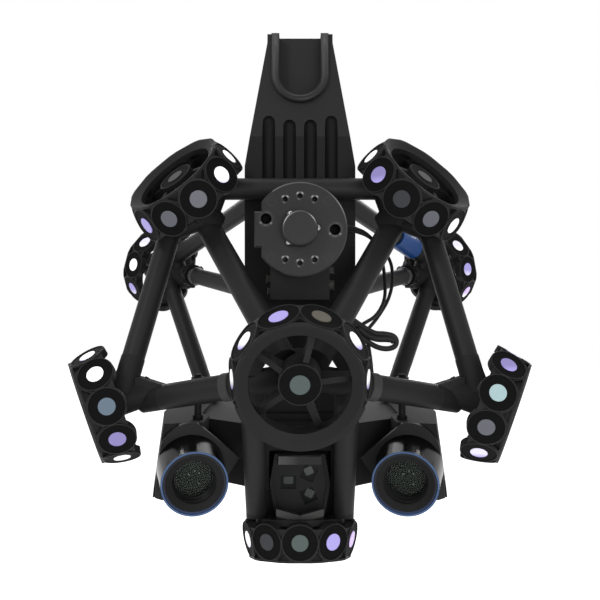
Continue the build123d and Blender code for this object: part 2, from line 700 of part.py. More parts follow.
piston_r = BOSS_BORE_R - PISTON_PLAY
cam_r = BALL_AT - BALL_R * sqrt(1 + CAM_SLOPE ** 2) - PISTON_PLAY
nose_y = BOSS_CAP - BOSS_FRONT + PISTON_NOSE_GAP
with BuildPart() as lock_piston:
    with BuildSketch(Plane.XY):
        with BuildLine():
            Polyline((0, nose_y), (cam_r + (nose_y + BALL_PLANE) * CAM_SLOPE, nose_y),
                     (piston_r, (piston_r - cam_r) / CAM_SLOPE - BALL_PLANE), (piston_r, nose_y + PISTON_LENGTH),
                     (0, nose_y + PISTON_LENGTH), close=True)
        make_face()
    revolve(axis=Axis.Y)
save(lock_piston, "lock_piston")

for number, angle in enumerate(BALL_ANGLES, 1):
    with BuildPart() as lock_ball:
        with Locations((BALL_AT * cos(radians(angle)), -BALL_PLANE, BALL_AT * sin(radians(angle)))):
            Sphere(BALL_R)
    save(lock_ball, "lock_ball_" + str(number))

# Adapter: a disc behind the plate and a block that reaches back to the arm
with BuildPart() as adapter:
    with BuildSketch(FACE.offset(-PLATE_THICK)):
        Circle(ADAPTER_R)
    extrude(amount=-ADAPTER_DISC)
    with BuildSketch(FACE.offset(-PLATE_THICK - 1)):
        with Locations((0, (BLOCK_TOP + BLOCK_BOTTOM) / 2)):
            Rectangle(BLOCK_WIDTH, BLOCK_TOP - BLOCK_BOTTOM)
    extrude(amount=PLATE_THICK + 1 - ARM_FRONT)
    with BuildSketch(FACE.offset(-PLATE_THICK)):
        with Locations(*screw_places):
            Circle(FLANGE_SCREW_R + SCREW_PLAY)
    extrude(amount=-ADAPTER_DISC, mode=Mode.SUBTRACT)
    with BuildSketch(FACE.offset(-PLATE_THICK)):
        Circle(BOSS_BORE_R)
    extrude(amount=-LOCK_BORE, mode=Mode.SUBTRACT)
    with BuildSketch(FACE.offset(-CROSS_BAR_Y)):
        with Locations((0, (BLOCK_TOP + SADDLE_TOP) / 2)):
            Rectangle(SADDLE_WIDTH, SADDLE_TOP - BLOCK_TOP)
    extrude(amount=CROSS_BAR_Y - ARM_FRONT)
    with BuildSketch(Plane.YZ.offset(-SADDLE_WIDTH / 2)):
        with Locations((CROSS_BAR_Y, CROSS_BAR_Z)):
            Circle(SIDE_TUBE / 2 + SPIGOT_PLAY)
    extrude(amount=SADDLE_WIDTH, mode=Mode.SUBTRACT)
save(adapter, "adapter")

# Arm: front outline and side outline together, flutes, cable slot with its raised rim, rear cavity
lean = ARM_LEAN / (ARM_TOP - ARM_LEAN_Z)
LEAN_FACE = Plane(origin=(0, ARM_FRONT, ARM_LEAN_Z), x_dir=(1, 0, 0), z_dir=(0, -1, lean))
slot_v = (SLOT_CENTRE_Z - ARM_LEAN_Z) * sqrt(1 + lean ** 2)
slot_top = (ARM_TOP - ARM_LEAN_Z) * sqrt(1 + lean ** 2) + SLOT_DEPTH
with BuildPart() as arm:
    with BuildSketch(FACE.offset(-ARM_BACK)):
        with BuildLine():
            Polyline((-ARM_HALF, ARM_BOTTOM), (-ARM_HALF, ARM_FLARE_Z), (-ARM_NECK_HALF, ARM_NECK_Z),
                     (-ARM_NECK_HALF, ARM_TOP), (ARM_NECK_HALF, ARM_TOP), (ARM_NECK_HALF, ARM_NECK_Z),
                     (ARM_HALF, ARM_FLARE_Z), (ARM_HALF, ARM_BOTTOM), close=True)
        make_face()
    extrude(amount=ARM_BACK - ARM_FRONT)
    with BuildSketch(Plane.YZ.offset(-ARM_HALF)):
        with BuildLine():
            Polyline((ARM_FRONT, ARM_BOTTOM), (ARM_FRONT, ARM_LEAN_Z), (ARM_FRONT + ARM_LEAN, ARM_TOP),
                     (ARM_BACK - ARM_COVER, ARM_TOP), (ARM_BACK - ARM_COVER, ARM_BOTTOM), close=True)
        make_face()
    extrude(amount=2 * ARM_HALF, mode=Mode.INTERSECT)
    with BuildSketch(LEAN_FACE):
        with BuildLine():
            RadiusArc((-SLOT_HALF - SLOT_RIM, slot_v), (SLOT_HALF + SLOT_RIM, slot_v), -SLOT_HALF - SLOT_RIM)
            Polyline((SLOT_HALF + SLOT_RIM, slot_v), (SLOT_HALF + SLOT_RIM, slot_top),
                     (-SLOT_HALF - SLOT_RIM, slot_top), (-SLOT_HALF - SLOT_RIM, slot_v))
        make_face()
    extrude(amount=SLOT_RIM_RISE)
    with BuildSketch(LEAN_FACE.offset(SLOT_RIM_RISE + 1)):
        with BuildLine():
            RadiusArc((-SLOT_HALF, slot_v), (SLOT_HALF, slot_v), -SLOT_HALF)
            Polyline((SLOT_HALF, slot_v), (SLOT_HALF, slot_top), (-SLOT_HALF, slot_top), (-SLOT_HALF, slot_v))
        make_face()
    extrude(amount=-SLOT_DEPTH - SLOT_RIM_RISE - 1, mode=Mode.SUBTRACT)
    with BuildSketch(Plane.XY.offset(ARM_TOP)):
        Rectangle(4 * ARM_HALF, 4 * ARM_BACK)
    extrude(amount=4 * SLOT_DEPTH, mode=Mode.SUBTRACT)
    for column, top in ((-1.5, FLUTE_TOP), (-0.5, FLUTE_TOP_INNER), (0.5, FLUTE_TOP_INNER), (1.5, FLUTE_TOP)):
        with BuildSketch(Plane.XY.offset(FLUTE_BOTTOM)):
            with Locations((column * FLUTE_PITCH, ARM_FRONT)):
                Circle(FLUTE_R)
        extrude(amount=top - FLUTE_R - FLUTE_BOTTOM, mode=Mode.SUBTRACT)
        for level in (FLUTE_BOTTOM, top - FLUTE_R):
            with Locations((column * FLUTE_PITCH, ARM_FRONT, level)):
                Sphere(FLUTE_R, mode=Mode.SUBTRACT)
    with BuildSketch(FACE.offset(ARM_COVER - ARM_BACK)):
        with BuildLine():
            Polyline((-ARM_HALF + ARM_WALL, ARM_BOTTOM + ARM_WALL), (-ARM_HALF + ARM_WALL, ARM_FLARE_Z),
                     (-CAVITY_TOP_HALF, CAVITY_TOP), (CAVITY_TOP_HALF, CAVITY_TOP),
                     (ARM_HALF - ARM_WALL, ARM_FLARE_Z), (ARM_HALF - ARM_WALL, ARM_BOTTOM + ARM_WALL), close=True)
        make_face()
    extrude(amount=ARM_BACK - ARM_COVER - ARM_FRONT - FLUTE_R - ARM_WALL, mode=Mode.SUBTRACT)
    with BuildSketch(FACE.offset(-TAIL_BACK)):
        with BuildLine():
            Polyline(*TAIL_OUTLINE, (TAIL_OUTLINE[-1][0], BODY_TOP), (-TAIL_OUTLINE[-1][0], BODY_TOP),
                     *[(-across, up) for across, up in reversed(TAIL_OUTLINE)], close=True)
        make_face()
    extrude(amount=TAIL_BACK - TAIL_FRONT)
    with BuildSketch(Plane.XY.offset(BODY_TOP)):
        with Locations((0, (TAIL_FRONT + TAIL_BACK) / 2)):
            Rectangle(*TAIL_FOOT)
    extrude(amount=TAIL_FOOT_THICK)
    with Locations(Plane.XY.offset(ARM_TOP)):
        with Locations((0, END_BOLT_Y)):
            with GridLocations(END_BOLT_X, END_BOLT_SPACING, 2, 2):
                Hole(END_BOLT_R, depth=END_BOLT_DEPTH)
save(arm, "arm")

with BuildPart() as arm_cover:
    with BuildSketch(FACE.offset(-ARM_BACK)):
        with BuildLine():
            Polyline((-ARM_HALF, ARM_BOTTOM), (-ARM_HALF, ARM_FLARE_Z), (-ARM_NECK_HALF, ARM_NECK_Z),
                     (-ARM_NECK_HALF, ARM_TOP), (ARM_NECK_HALF, ARM_TOP), (ARM_NECK_HALF, ARM_NECK_Z),
                     (ARM_HALF, ARM_FLARE_Z), (ARM_HALF, ARM_BOTTOM), close=True)
        make_face()
    extrude(amount=ARM_COVER)
    chamfer(arm_cover.faces().sort_by(Axis.Y)[-1].edges(), 1.2)
save(arm_cover, "arm_cover")


# Sensor head. Lens planes have z forwards along the lens axis and x level, to the viewer's right
lens_axis = unit(LENS_AXIS)
LENS_LEFT = Plane(origin=LENS_AT, x_dir=Vector(0, 0, 1).cross(lens_axis), z_dir=lens_axis)
axis_right = unit(mirrored(LENS_AXIS))
LENS_RIGHT = Plane(origin=mirrored(LENS_AT), x_dir=Vector(0, 0, 1).cross(axis_right), z_dir=axis_right)
LENSES = ((LENS_LEFT, -1), (LENS_RIGHT, 1))


def revolved(plane, profile):
    """Revolve a closed outline of (radius, depth behind the lens front) points about the lens axis."""
    with BuildSketch(Plane(origin=plane.origin, x_dir=plane.x_dir, z_dir=plane.y_dir)) as section:
        with BuildLine():
            Polyline(*[(radius, depth) for radius, depth in profile], close=True)
        make_face()
    return revolve(section.sketch, axis=Axis(plane.origin, plane.z_dir))


barrel_tail = BARREL_LENGTH + HOOD_THICK
stop_back = GLASS_DEPTH + GLASS_THICK + STOP_THICK
with BuildPart() as barrels:
    for plane, _ in LENSES:
        add(revolved(plane, [
            (BARREL_FRONT_R, LIGHT_RING_THICK), (BARREL_BACK_R, BARREL_LENGTH), (BARREL_SPIGOT_R, BARREL_LENGTH),
            (BARREL_SPIGOT_R, barrel_tail),
            (LENS_GROUP_R + SEAT_PLAY, barrel_tail), (LENS_GROUP_R + SEAT_PLAY, stop_back), (STOP_R, stop_back),
            (STOP_R, GLASS_DEPTH + GLASS_THICK), (GLASS_R + SEAT_PLAY, GLASS_DEPTH + GLASS_THICK),
            (GLASS_R + SEAT_PLAY, GLASS_DEPTH), (LENS_OPENING_R, GLASS_DEPTH), (LENS_OPENING_R, LENS_OPENING_DEPTH),
            (CONE_MOUTH_R, BARREL_LIP), (LIGHT_RING_IN, BARREL_LIP), (LIGHT_RING_IN, LIGHT_RING_THICK)]))
save(barrels, "lens_barrels")

with BuildPart() as light_rings:
    for plane, _ in LENSES:
        add(revolved(plane, [(LIGHT_RING_IN, 0), (BARREL_FRONT_R, 0), (BARREL_FRONT_R, LIGHT_RING_THICK),
                             (LIGHT_RING_IN, LIGHT_RING_THICK)]))
save(light_rings, "light_rings")

with BuildPart() as lens_glasses:
    for plane, _ in LENSES:
        with BuildSketch(plane.offset(-GLASS_DEPTH - GLASS_THICK)):
            Circle(GLASS_R)
        extrude(amount=GLASS_THICK)
save(lens_glasses, "lens_glasses")

with BuildPart() as lens_groups:
    for plane, _ in LENSES:
        with BuildSketch(Plane(origin=plane.origin, x_dir=plane.x_dir, z_dir=plane.y_dir)):
            with BuildLine():
                ThreePointArc((0, stop_back - LENS_DOME_RISE), (LENS_DOME_R / 2, stop_back - 0.75 * LENS_DOME_RISE),
                              (LENS_DOME_R, stop_back))
                Polyline((LENS_DOME_R, stop_back), (LENS_GROUP_R, stop_back), (LENS_GROUP_R, barrel_tail),
                         (0, barrel_tail), (0, stop_back - LENS_DOME_RISE))
            make_face()
        revolve(axis=Axis(plane.origin, plane.z_dir))
save(lens_groups, "lens_groups")

# Slanting face plates round the barrels
with BuildPart() as face_plates:
    for plane, side in LENSES:
        with BuildSketch(plane.offset(-barrel_tail)):
            with BuildLine():
                ThreePointArc((side * 19.9, 15.5), (side * 9.5, 28.0), (-side * 4.1, 30.2))
                Polyline((-side * 4.1, 30.2), (-side * 32.6, 5.1), (-side * 26.7, -4.1), (-side * 20.0, -15.0),
                         (-side * 10.0, -22.6), (side * 19.0, -21.7), (side * 23.3, -20.0), (side * 22.7, -8.3),
                         (side * 19.9, 15.5))
            make_face()
            Circle(BARREL_SPIGOT_R + SEAT_PLAY, mode=Mode.SUBTRACT)
        extrude(amount=HOOD_THICK)
save(face_plates, "face_plates")


# Pods behind the face plates, each a closed housing beside the middle body
def make_pod(plane, side):
    """Housing behind one lens, cut to its face plate's plane and with a leaning outer side."""
    with BuildPart() as pod:
        with BuildSketch(Plane.XY.offset(POD_BOTTOM)):
            with BuildLine():
                Polyline(
                    (-side * POD_SIDE, POD_FRONT), (-side * POD_INNER, POD_FRONT),
                    (-side * POD_INNER, POD_INNER_BACK), (-side * BODY_SHOULDER[0], BODY_SHOULDER[1]),
                    (-side * BODY_SHOULDER[0], POD_BACK), (-side * POD_SIDE, POD_BACK), close=True)
            make_face()
        extrude(amount=POD_TOP - POD_BOTTOM)
        chamfer(pod.edges().filter_by(Axis.Y).sort_by(SortBy.LENGTH)[-2:], POD_EDGE)
        split(bisect_by=plane.offset(-barrel_tail), keep=Keep.BOTTOM)
        split(bisect_by=Plane(origin=sides(POD_LEAN_AT, side), z_dir=sides(POD_LEAN, side)), keep=Keep.BOTTOM)
    return pod.part


left_pod, right_pod = [make_pod(plane, side) for plane, side in LENSES]
with BuildPart() as pods:
    add(left_pod)
    add(right_pod)
save(pods, "sensor_pods")

# Middle body: two shells with a prow-shaped plan, open in front for the laser projector
body_outline = [
    (BODY_NOSE[0], BODY_NOSE[1]), (BODY_SHOULDER[0], BODY_SHOULDER[1]), (BODY_SHOULDER[0], BODY_BACK),
    (-BODY_SHOULDER[0], BODY_BACK), (-BODY_SHOULDER[0], BODY_SHOULDER[1]), (-BODY_NOSE[0], BODY_NOSE[1]),
]


def make_shell(bottom, top, inside_bottom, inside_top, name):
    """Half of the middle body between two levels, hollow between two inner levels."""
    with BuildPart() as shell:
        with BuildSketch(Plane.XY.offset(bottom)):
            with BuildLine():
                Polyline(*body_outline, close=True)
            make_face()
        extrude(amount=top - bottom)
        with BuildSketch(Plane.XY.offset(inside_bottom)):
            with BuildLine():
                Polyline(*body_outline, close=True)
            make_face()
            offset(amount=-SHELL_WALL, kind=Kind.INTERSECTION, mode=Mode.REPLACE)
            with Locations((0, LASER_BACK / 2)):
                Rectangle(2 * (LASER_WAIST + NOTCH_PLAY + SHELL_WALL), LASER_BACK + 2 * SHELL_WALL, mode=Mode.SUBTRACT)
        extrude(amount=inside_top - inside_bottom, mode=Mode.SUBTRACT)
        with BuildSketch(Plane.XY.offset(BODY_BOTTOM)):
            with Locations((0, LASER_BACK / 2)):
                Rectangle(2 * (LASER_WAIST + NOTCH_PLAY), LASER_BACK)
        extrude(amount=LASER_TOP + NOTCH_PLAY - BODY_BOTTOM, mode=Mode.SUBTRACT)
    save(shell, name)


make_shell(BODY_BOTTOM, BODY_SPLIT, BODY_BOTTOM + SHELL_WALL, BODY_SPLIT, "body_shell_lower")
make_shell(BODY_SPLIT, BODY_TOP, BODY_SPLIT, BODY_TOP - SHELL_WALL, "body_shell_upper")

# Laser projector: waisted housing with a sunk front, three windows and a brow
laser_middle = (LASER_TOP + LASER_BOTTOM) / 2
laser_height = LASER_TOP - LASER_BOTTOM
laser_outline = [
    (-LASER_HALF, LASER_TOP), (-LASER_WAIST, laser_middle), (-LASER_HALF, LASER_BOTTOM),
    (LASER_HALF, LASER_BOTTOM), (LASER_WAIST, laser_middle), (LASER_HALF, LASER_TOP),
]
with BuildPart() as laser_housing:
    with BuildSketch(FACE.offset(-LASER_BACK)):
        with BuildLine():
            Polyline(*laser_outline, close=True)
        make_face()
    extrude(amount=LASER_BACK - LASER_FRONT)
    with BuildSketch(Plane.XY.offset(LASER_TOP - BROW_HEIGHT)):
        with BuildLine():
            Polyline((-BROW_HALF, LASER_FRONT + 1), (-BROW_HALF, LASER_FRONT - BROW_RISE / 2),
                     (0, LASER_FRONT - BROW_RISE), (BROW_HALF, LASER_FRONT - BROW_RISE / 2),
                     (BROW_HALF, LASER_FRONT + 1), close=True)
        make_face()
    extrude(amount=BROW_HEIGHT)
    with BuildSketch(Plane.XY.offset(KEEL_TOP)):
        with Locations((0, (KEEL_FRONT + LASER_BACK) / 2)):
            Rectangle(2 * KEEL_HALF, LASER_BACK - KEEL_FRONT)
    extrude(amount=-KEEL_DEPTH)
    split(bisect_by=base_plane.offset(-KEEL_GAP), keep=Keep.BOTTOM)
    with BuildSketch(FACE.offset(-LASER_FRONT)):
        with BuildLine():
            Polyline(*laser_outline, close=True)
        make_face()
        offset(amount=-LASER_BORDER, kind=Kind.INTERSECTION, mode=Mode.REPLACE)
        with Locations((0, LASER_TOP)):
            Rectangle(2 * LASER_WAIST, 2 * BROW_HEIGHT, mode=Mode.SUBTRACT)
    extrude(amount=-PLATE_RECESS, mode=Mode.SUBTRACT)
    with BuildSketch(FACE.offset(-LASER_FRONT)):
        for across, up, width, height, turn in WINDOWS:
            with Locations((across, up)):
                Rectangle(width, height, rotation=turn)
    extrude(amount=-PLATE_RECESS - WINDOW_DEPTH, mode=Mode.SUBTRACT)
save(laser_housing, "laser_housing")

with BuildPart() as laser_windows:
    with BuildSketch(FACE.offset(-LASER_FRONT - PLATE_RECESS - WINDOW_DEPTH)):
        for across, up, width, height, turn in WINDOWS:
            with Locations((across, up)):
                Rectangle(width - 2 * SEAT_PLAY, height - 2 * SEAT_PLAY, rotation=turn)
    extrude(amount=WINDOW_THICK)
save(laser_windows, "laser_windows")

# Brackets between the columns and the middle body, cut to the columns' taper
nose_slope = (BODY_SHOULDER[1] - BODY_NOSE[1]) / (BODY_NOSE[0] - BODY_SHOULDER[0])


def make_bracket(side):
    """Bracket that embraces one column and lies on the slanting side of the body's prow."""
    column_plane, column_length = between(sides(column_top, side), sides(COLUMN_FOOT_AT, side))
    with BuildPart() as bracket:
        with BuildSketch(Plane.XY.offset(BRACKET_TOP - BRACKET_HEIGHT)):
            with BuildLine():
                Polyline(
                    (-side * BRACKET_IN, BRACKET_FRONT), (-side * BRACKET_OUT, BRACKET_FRONT),
                    (-side * BRACKET_OUT, BODY_NOSE[1] + nose_slope * (BODY_NOSE[0] - BRACKET_OUT)),
                    (-side * BRACKET_IN, BODY_NOSE[1]), close=True)
            make_face()
        extrude(amount=BRACKET_HEIGHT)
        with BuildSketch(column_plane):
            Circle(COLUMN_TOP / 2 + SPIGOT_PLAY)
        with BuildSketch(column_plane.offset(column_length)):
            Circle(COLUMN_FOOT / 2 + SPIGOT_PLAY)
        loft(mode=Mode.SUBTRACT)
    return bracket.part


left_bracket, right_bracket = [make_bracket(side) for side in (-1, 1)]
with BuildPart() as column_brackets:
    add(left_bracket)
    add(right_bracket)
save(column_brackets, "column_brackets")


# Hangers from the side tubes to the pods' tops
def make_hanger(side):
    """Saddle arm on a side tube, with a rod down to the pod, a nut and a foot."""
    tube_plane, tube_length = between(sides(side_inner, side), sides(side_outer, side))
    rod_x = -side * HANGER_AT[0]
    with BuildPart() as hanger:
        with BuildSketch(Plane.XY.offset(HANGER_TOP - HANGER_THICK)):
            with Locations((rod_x, HANGER_AT[1])):
                Circle(HANGER_WIDTH / 2)
            with Locations((rod_x, (HANGER_AT[1] + HANGER_FRONT) / 2)):
                Rectangle(HANGER_WIDTH, HANGER_AT[1] - HANGER_FRONT)
        extrude(amount=HANGER_THICK)
        with BuildSketch(tube_plane):
            Circle(MAIN_TUBE / 2 + SPIGOT_PLAY)
        extrude(amount=tube_length, mode=Mode.SUBTRACT)
        with BuildSketch(Plane.XY.offset(POD_TOP)):
            with Locations((rod_x, HANGER_AT[1])):
                Circle(HANGER_ROD_R)
        extrude(amount=HANGER_TOP + HANGER_NUT + 2 - POD_TOP)
        with BuildSketch(Plane.XY.offset(HANGER_TOP)):
            with Locations((rod_x, HANGER_AT[1])):
                RegularPolygon(HANGER_NUT_R, 6)
        extrude(amount=HANGER_NUT)
        with BuildSketch(Plane.XY.offset(POD_TOP)):
            with Locations((rod_x, HANGER_AT[1])):
                Circle(HANGER_FOOT_R)
        extrude(amount=SHOE_THICK)
    return hanger.part


left_hanger, right_hanger = [make_hanger(side) for side in (-1, 1)]
with BuildPart() as pod_hangers:
    add(left_hanger)
    add(right_hanger)
save(pod_hangers, "pod_hangers")


# Shoes on the pods for the rear legs
def make_shoe(side):
    """Round flange with a slanting post, on which one rear leg is pushed."""
    foot = sides(SHOE_AT, side)
    leg_plane, _ = between(foot, sides(REAR_LEG[0], side))
    with BuildPart() as shoe:
        with BuildSketch(leg_plane):
            Circle(STRUT_TUBE / 2)
        extrude(amount=SHOE_REACH)
        with BuildSketch(leg_plane.offset(SHOE_REACH)):
            Circle(STRUT_TUBE / 2 - TUBE_WALL - SPIGOT_PLAY)
        extrude(amount=SPIGOT_LENGTH)
        with BuildSketch(leg_plane):
            Circle(STRUT_TUBE / 2)
        extrude(amount=-STRUT_TUBE)
        split(bisect_by=Plane.XY.offset(POD_TOP), keep=Keep.TOP)
        with BuildSketch(Plane.XY.offset(POD_TOP)):
            with Locations((foot[0], foot[1])):
                Circle(SHOE_R)
        extrude(amount=SHOE_THICK)
    return shoe.part


left_shoe, right_shoe = [make_shoe(side) for side in (-1, 1)]
with BuildPart() as strut_shoes:
    add(left_shoe)
    add(right_shoe)
save(strut_shoes, "strut_shoes")

# Sleeve pushed over the right rear upper strut
with BuildPart() as strut_sleeve:
    sleeve_plane, _ = between(sides(along(UPPER_STRUT[1], UPPER_STRUT[0], SLEEVE_START), 1), sides(UPPER_STRUT[0], 1))
    with BuildSketch(sleeve_plane):
        Circle(SLEEVE_R)
        Circle(STRUT_TUBE / 2 + SPIGOT_PLAY, mode=Mode.SUBTRACT)
    extrude(amount=-SLEEVE_LENGTH / 2, both=True)
save(strut_sleeve, "strut_sleeve")


# Cables from the adapter's right side behind the right V tube to the front node and the side tube
def corner_radii(points):
    """Radius of each bend: the shorter run beside it sets how far the arc may reach."""
    radii = []
    for before, corner, after in zip(points, points[1:], points[2:]):
        run_in = Vector(*corner) - Vector(*before)
        run_out = Vector(*after) - Vector(*corner)
        half_turn = radians(run_in.get_angle(run_out)) / 2
        radii.append(0.45 * min(run_in.length, run_out.length) / tan(half_turn))
    return radii


CABLE_ROUTES = (
    [(BLOCK_WIDTH / 2, 38, 6), (33, 38, 6), (47, 50, 2), (56.5, 59, -9), (59, 51, -27), (58, 40, -44), (51, 28, -55),
     (36.5, 13, -62), (32, -1, -74), (28, -8, -92)],
    [(BLOCK_WIDTH / 2, 46, 4.5), (33, 46, 4.5), (50, 62, 1), (65, 68, -14), (65.5, 56, -31), (60.5, 44, -45),
     (51, 32, -57.5), (43, 20, -65), (45, 12, -79), (46, 3, -96)],
)
with BuildPart() as cables:
    for route in CABLE_ROUTES:
        with BuildLine() as path:
            FilletPolyline(*route, radius=corner_radii(route))
        start_plane, _ = between(route[0], route[1])
        with BuildSketch(start_plane):
            Circle(CABLE_R)
        sweep(path=path.wires()[0])
    tube_plane, tube_length = between(sides(FRONT_HEART, 1), sides(SIDE_HEART, 1))
    with BuildSketch(tube_plane):
        Circle(MAIN_TUBE / 2 + SPIGOT_PLAY)
    extrude(amount=tube_length, mode=Mode.SUBTRACT)
save(cables, "cables")
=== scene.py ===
import math

import bmesh
import bpy
import numpy as np
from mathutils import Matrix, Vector


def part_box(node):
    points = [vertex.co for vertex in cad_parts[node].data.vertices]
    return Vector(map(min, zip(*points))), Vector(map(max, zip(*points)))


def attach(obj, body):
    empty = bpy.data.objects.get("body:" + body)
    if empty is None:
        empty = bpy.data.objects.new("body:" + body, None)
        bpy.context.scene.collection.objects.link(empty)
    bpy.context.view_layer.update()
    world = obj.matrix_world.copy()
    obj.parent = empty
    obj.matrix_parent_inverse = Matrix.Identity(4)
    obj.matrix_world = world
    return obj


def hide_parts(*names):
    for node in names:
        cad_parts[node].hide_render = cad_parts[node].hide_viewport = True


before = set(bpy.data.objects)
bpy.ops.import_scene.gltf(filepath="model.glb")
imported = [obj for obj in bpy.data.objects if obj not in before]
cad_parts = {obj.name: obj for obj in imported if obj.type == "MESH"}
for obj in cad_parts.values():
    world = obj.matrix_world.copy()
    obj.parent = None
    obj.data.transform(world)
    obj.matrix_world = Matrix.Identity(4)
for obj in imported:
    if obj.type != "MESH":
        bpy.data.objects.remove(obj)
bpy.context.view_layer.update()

bl_info = {
    "name": "Robot-held scanner dressing",
    "version": (1, 1, 0),
    "blender": (4, 5, 0),
    "location": "View3D > Sidebar > Scanner",
    "description": "Finishes, reflectors, lens details and small hardware for a truss-mounted optical scanner",
    "category": "Object",
}

MM = 0.001

# Rings, in metres and degrees: centre, outward axis, radius of the circle of reflectors, turn of the first facet
RINGS = {
    "front": ((0, -0.0440, -0.0893), (0, -0.971, -0.240), 0.0386, 0.0),
    "base": ((0, 0.0271, -0.2016), (0, -0.205, -0.979), 0.0352, 18.0),
    "upper_left": ((-0.0788, 0.0387, 0.0321), (-0.539, -0.495, 0.682), 0.0375, 333.4),
    "upper_right": ((0.0788, 0.0387, 0.0321), (0.539, -0.495, 0.682), 0.0375, -153.4),
    "side_left": ((-0.1262, 0.0124, -0.1130), (-0.894, -0.326, -0.307), 0.0353, 8.4),
    "side_right": ((0.1262, 0.0124, -0.1130), (0.894, -0.326, -0.307), 0.0353, 13.4),
    "rear_left": ((-0.1250, 0.2030, -0.0155), (-0.820, 0.490, 0.296), 0.0352, 2.5),
    "rear_right": ((0.1250, 0.2030, -0.0155), (0.820, 0.490, 0.296), 0.0352, 4.0),
}
SMALLEST_RING = 0.0352
FACETS = 10
CONE = math.radians(12.0)       # tilt of a facet towards its ring's axis
HUB_FRONT = 9.4 * MM            # front of a hub, above its ring's centre
FORWARD = (0, -1, 0)
BACKWARD = (0, 1, 0)

# Places in metres, those of a pair for the left side
LENS_CENTRE = (-0.0660, 0.0, -0.1599)
LENS_AXIS = (0.2228, -0.9649, -0.1392)
FRONT_HEART = np.array((0, -0.017, -0.090))
SIDE_HEART = np.array((-0.103, 0.0215, -0.110))
STRUT_INNER = np.array((-0.039, 0.087, -0.0365))
STRUT_OUTER = np.array((-0.104, 0.190, -0.020))
LEG_TOP = np.array((-0.0922, 0.0520, -0.0039))
LEG_FOOT = np.array((-0.1120, 0.0210, -0.0915))
TOOL_CIRCLE = 21.1 * MM         # radius of the circle of small tool holes
TOOL_STEP = 26.0                # degrees between two of them
GUIDE_BORES = ((-0.0213, -0.00002, 0.0067), (0.0221, -0.00002, -0.0001))
WINDOW_FACE = 0.02662

# Front face of the arm in millimetres: its lower part's depth, and the slope above the height where it leans back
ARM_FACE = 58.0
LEAN_START = 71.0
LEAN = 10.0 / 75.5

# Camera and stage in metres; each lamp is its name, place, size and power
CAMERA_PLACE = (0, -0.470, -0.0443)
FLOOR_LEVEL = -0.62
FLOOR_REACH = 6.0
LAMP_AIM = (0.0, 0.05, -0.05)
LAMPS = (
    ("key", (-0.75, -1.0, 0.75), 0.3, 6.0),
    ("fill", (0.25, -1.0, -0.15), 0.5, 5.0),
    ("glint left", (-0.52, 1.0, 0.36), 0.15, 1.5),
    ("glint right", (0.52, 1.0, 0.36), 0.15, 1.5),
    ("top", (0.0, 0.1, 1.1), 0.7, 3.0),
    ("back", (0.2, 1.3, 0.7), 0.8, 4.0),
)

# Tint of each ring's reflectors, facets 0 to 9 and then the hub: w white, p pale violet, v violet, g violet grey,
# s slate, u blue slate, d dark slate, t teal grey, c pale teal, o olive grey, l lilac, b nearly black.
# These tints are painted reflection and shade: white where the film sends the light back, violet where it
# is seen at a slant, slate, dark slate and nearly black where it faces away from the light.
# The second word is the tint that the film fades to towards its lower side, a painted change of the reflection.
TINTS = {
    "front": ("wwovwwwwvwt", "gvovvgwwvwt"),
    "base": ("lvtdwwvwswt", "lvtdpwpwswt"),
    "upper_left": ("swwwpwswvsb", "spwwpwwwvsb"),
    "upper_right": ("dswwwpwswgb", "dswwwpwswvb"),
    "side_left": ("uwwwvswwwgs", "uwpwvswwwgs"),
    "side_right": ("wspgcspwvst", "wspvcsvwvst"),
    "rear_left": ("wpswvwgwwvw", "wwswvwgwwpw"),
    "rear_right": ("wvwwpvlwsww", "wvwwwpwwsww"),
}

# Finish of each group of carried-over nodes
FINISHES = {
    "ring satin": ["target_ring_front", "target_ring_base", "target_ring_upper_left", "target_ring_upper_right",
                   "target_ring_side_left", "target_ring_side_right", "target_ring_rear_left",
                   "target_ring_rear_right"],
    "node satin": ["front_node", "base_node", "upper_node_left", "upper_node_right", "side_node_left",
                   "side_node_right", "rear_node_left", "rear_node_right"],
    "tube wrap": ["v_tube_left", "v_tube_right", "leg_tube_left", "leg_tube_right", "side_tube_left",
                  "side_tube_right", "column_left", "column_right", "cross_bar", "rear_upper_strut_left",
                  "rear_upper_strut_right", "rear_lower_strut_left", "rear_lower_strut_right",
                  "rear_leg_strut_left", "rear_leg_strut_right"],
    "turned plate": ["coupling_plate"],
    "lock steel": ["lock_boss", "lock_piston", "plate_screws", "hub_screws"],
    "ball steel": ["lock_ball_1", "lock_ball_2", "lock_ball_3"],
    "arm paint": ["arm", "arm_cover"],
    "adapter paint": ["adapter"],
    "shell moulding": ["body_shell_lower", "body_shell_upper", "sensor_pods"],
    # The face plates' finish is a lighter copy of the head anodising, painted light
    "face anodised with painted light": ["face_plates"],
    "head anodised": ["laser_housing", "column_brackets", "pod_hangers", "strut_shoes"],
    "barrel gloss": ["lens_barrels"],
    "light guide": ["light_rings"],
    "front glass": ["lens_glasses"],
    "window filter": ["laser_windows"],
    "lens core": ["lens_groups"],
    "blue sleeve": ["strut_sleeve"],
    "cable jacket": ["cables"],
}


def colour(name, description, default):
    """Colour property with its default."""
    return bpy.props.FloatVectorProperty(name=name, description=description, subtype="COLOR", size=3, default=default)


def length(name, description, default):
    """Length property in metres."""
    return bpy.props.FloatProperty(name=name, description=description, unit="LENGTH", default=default)


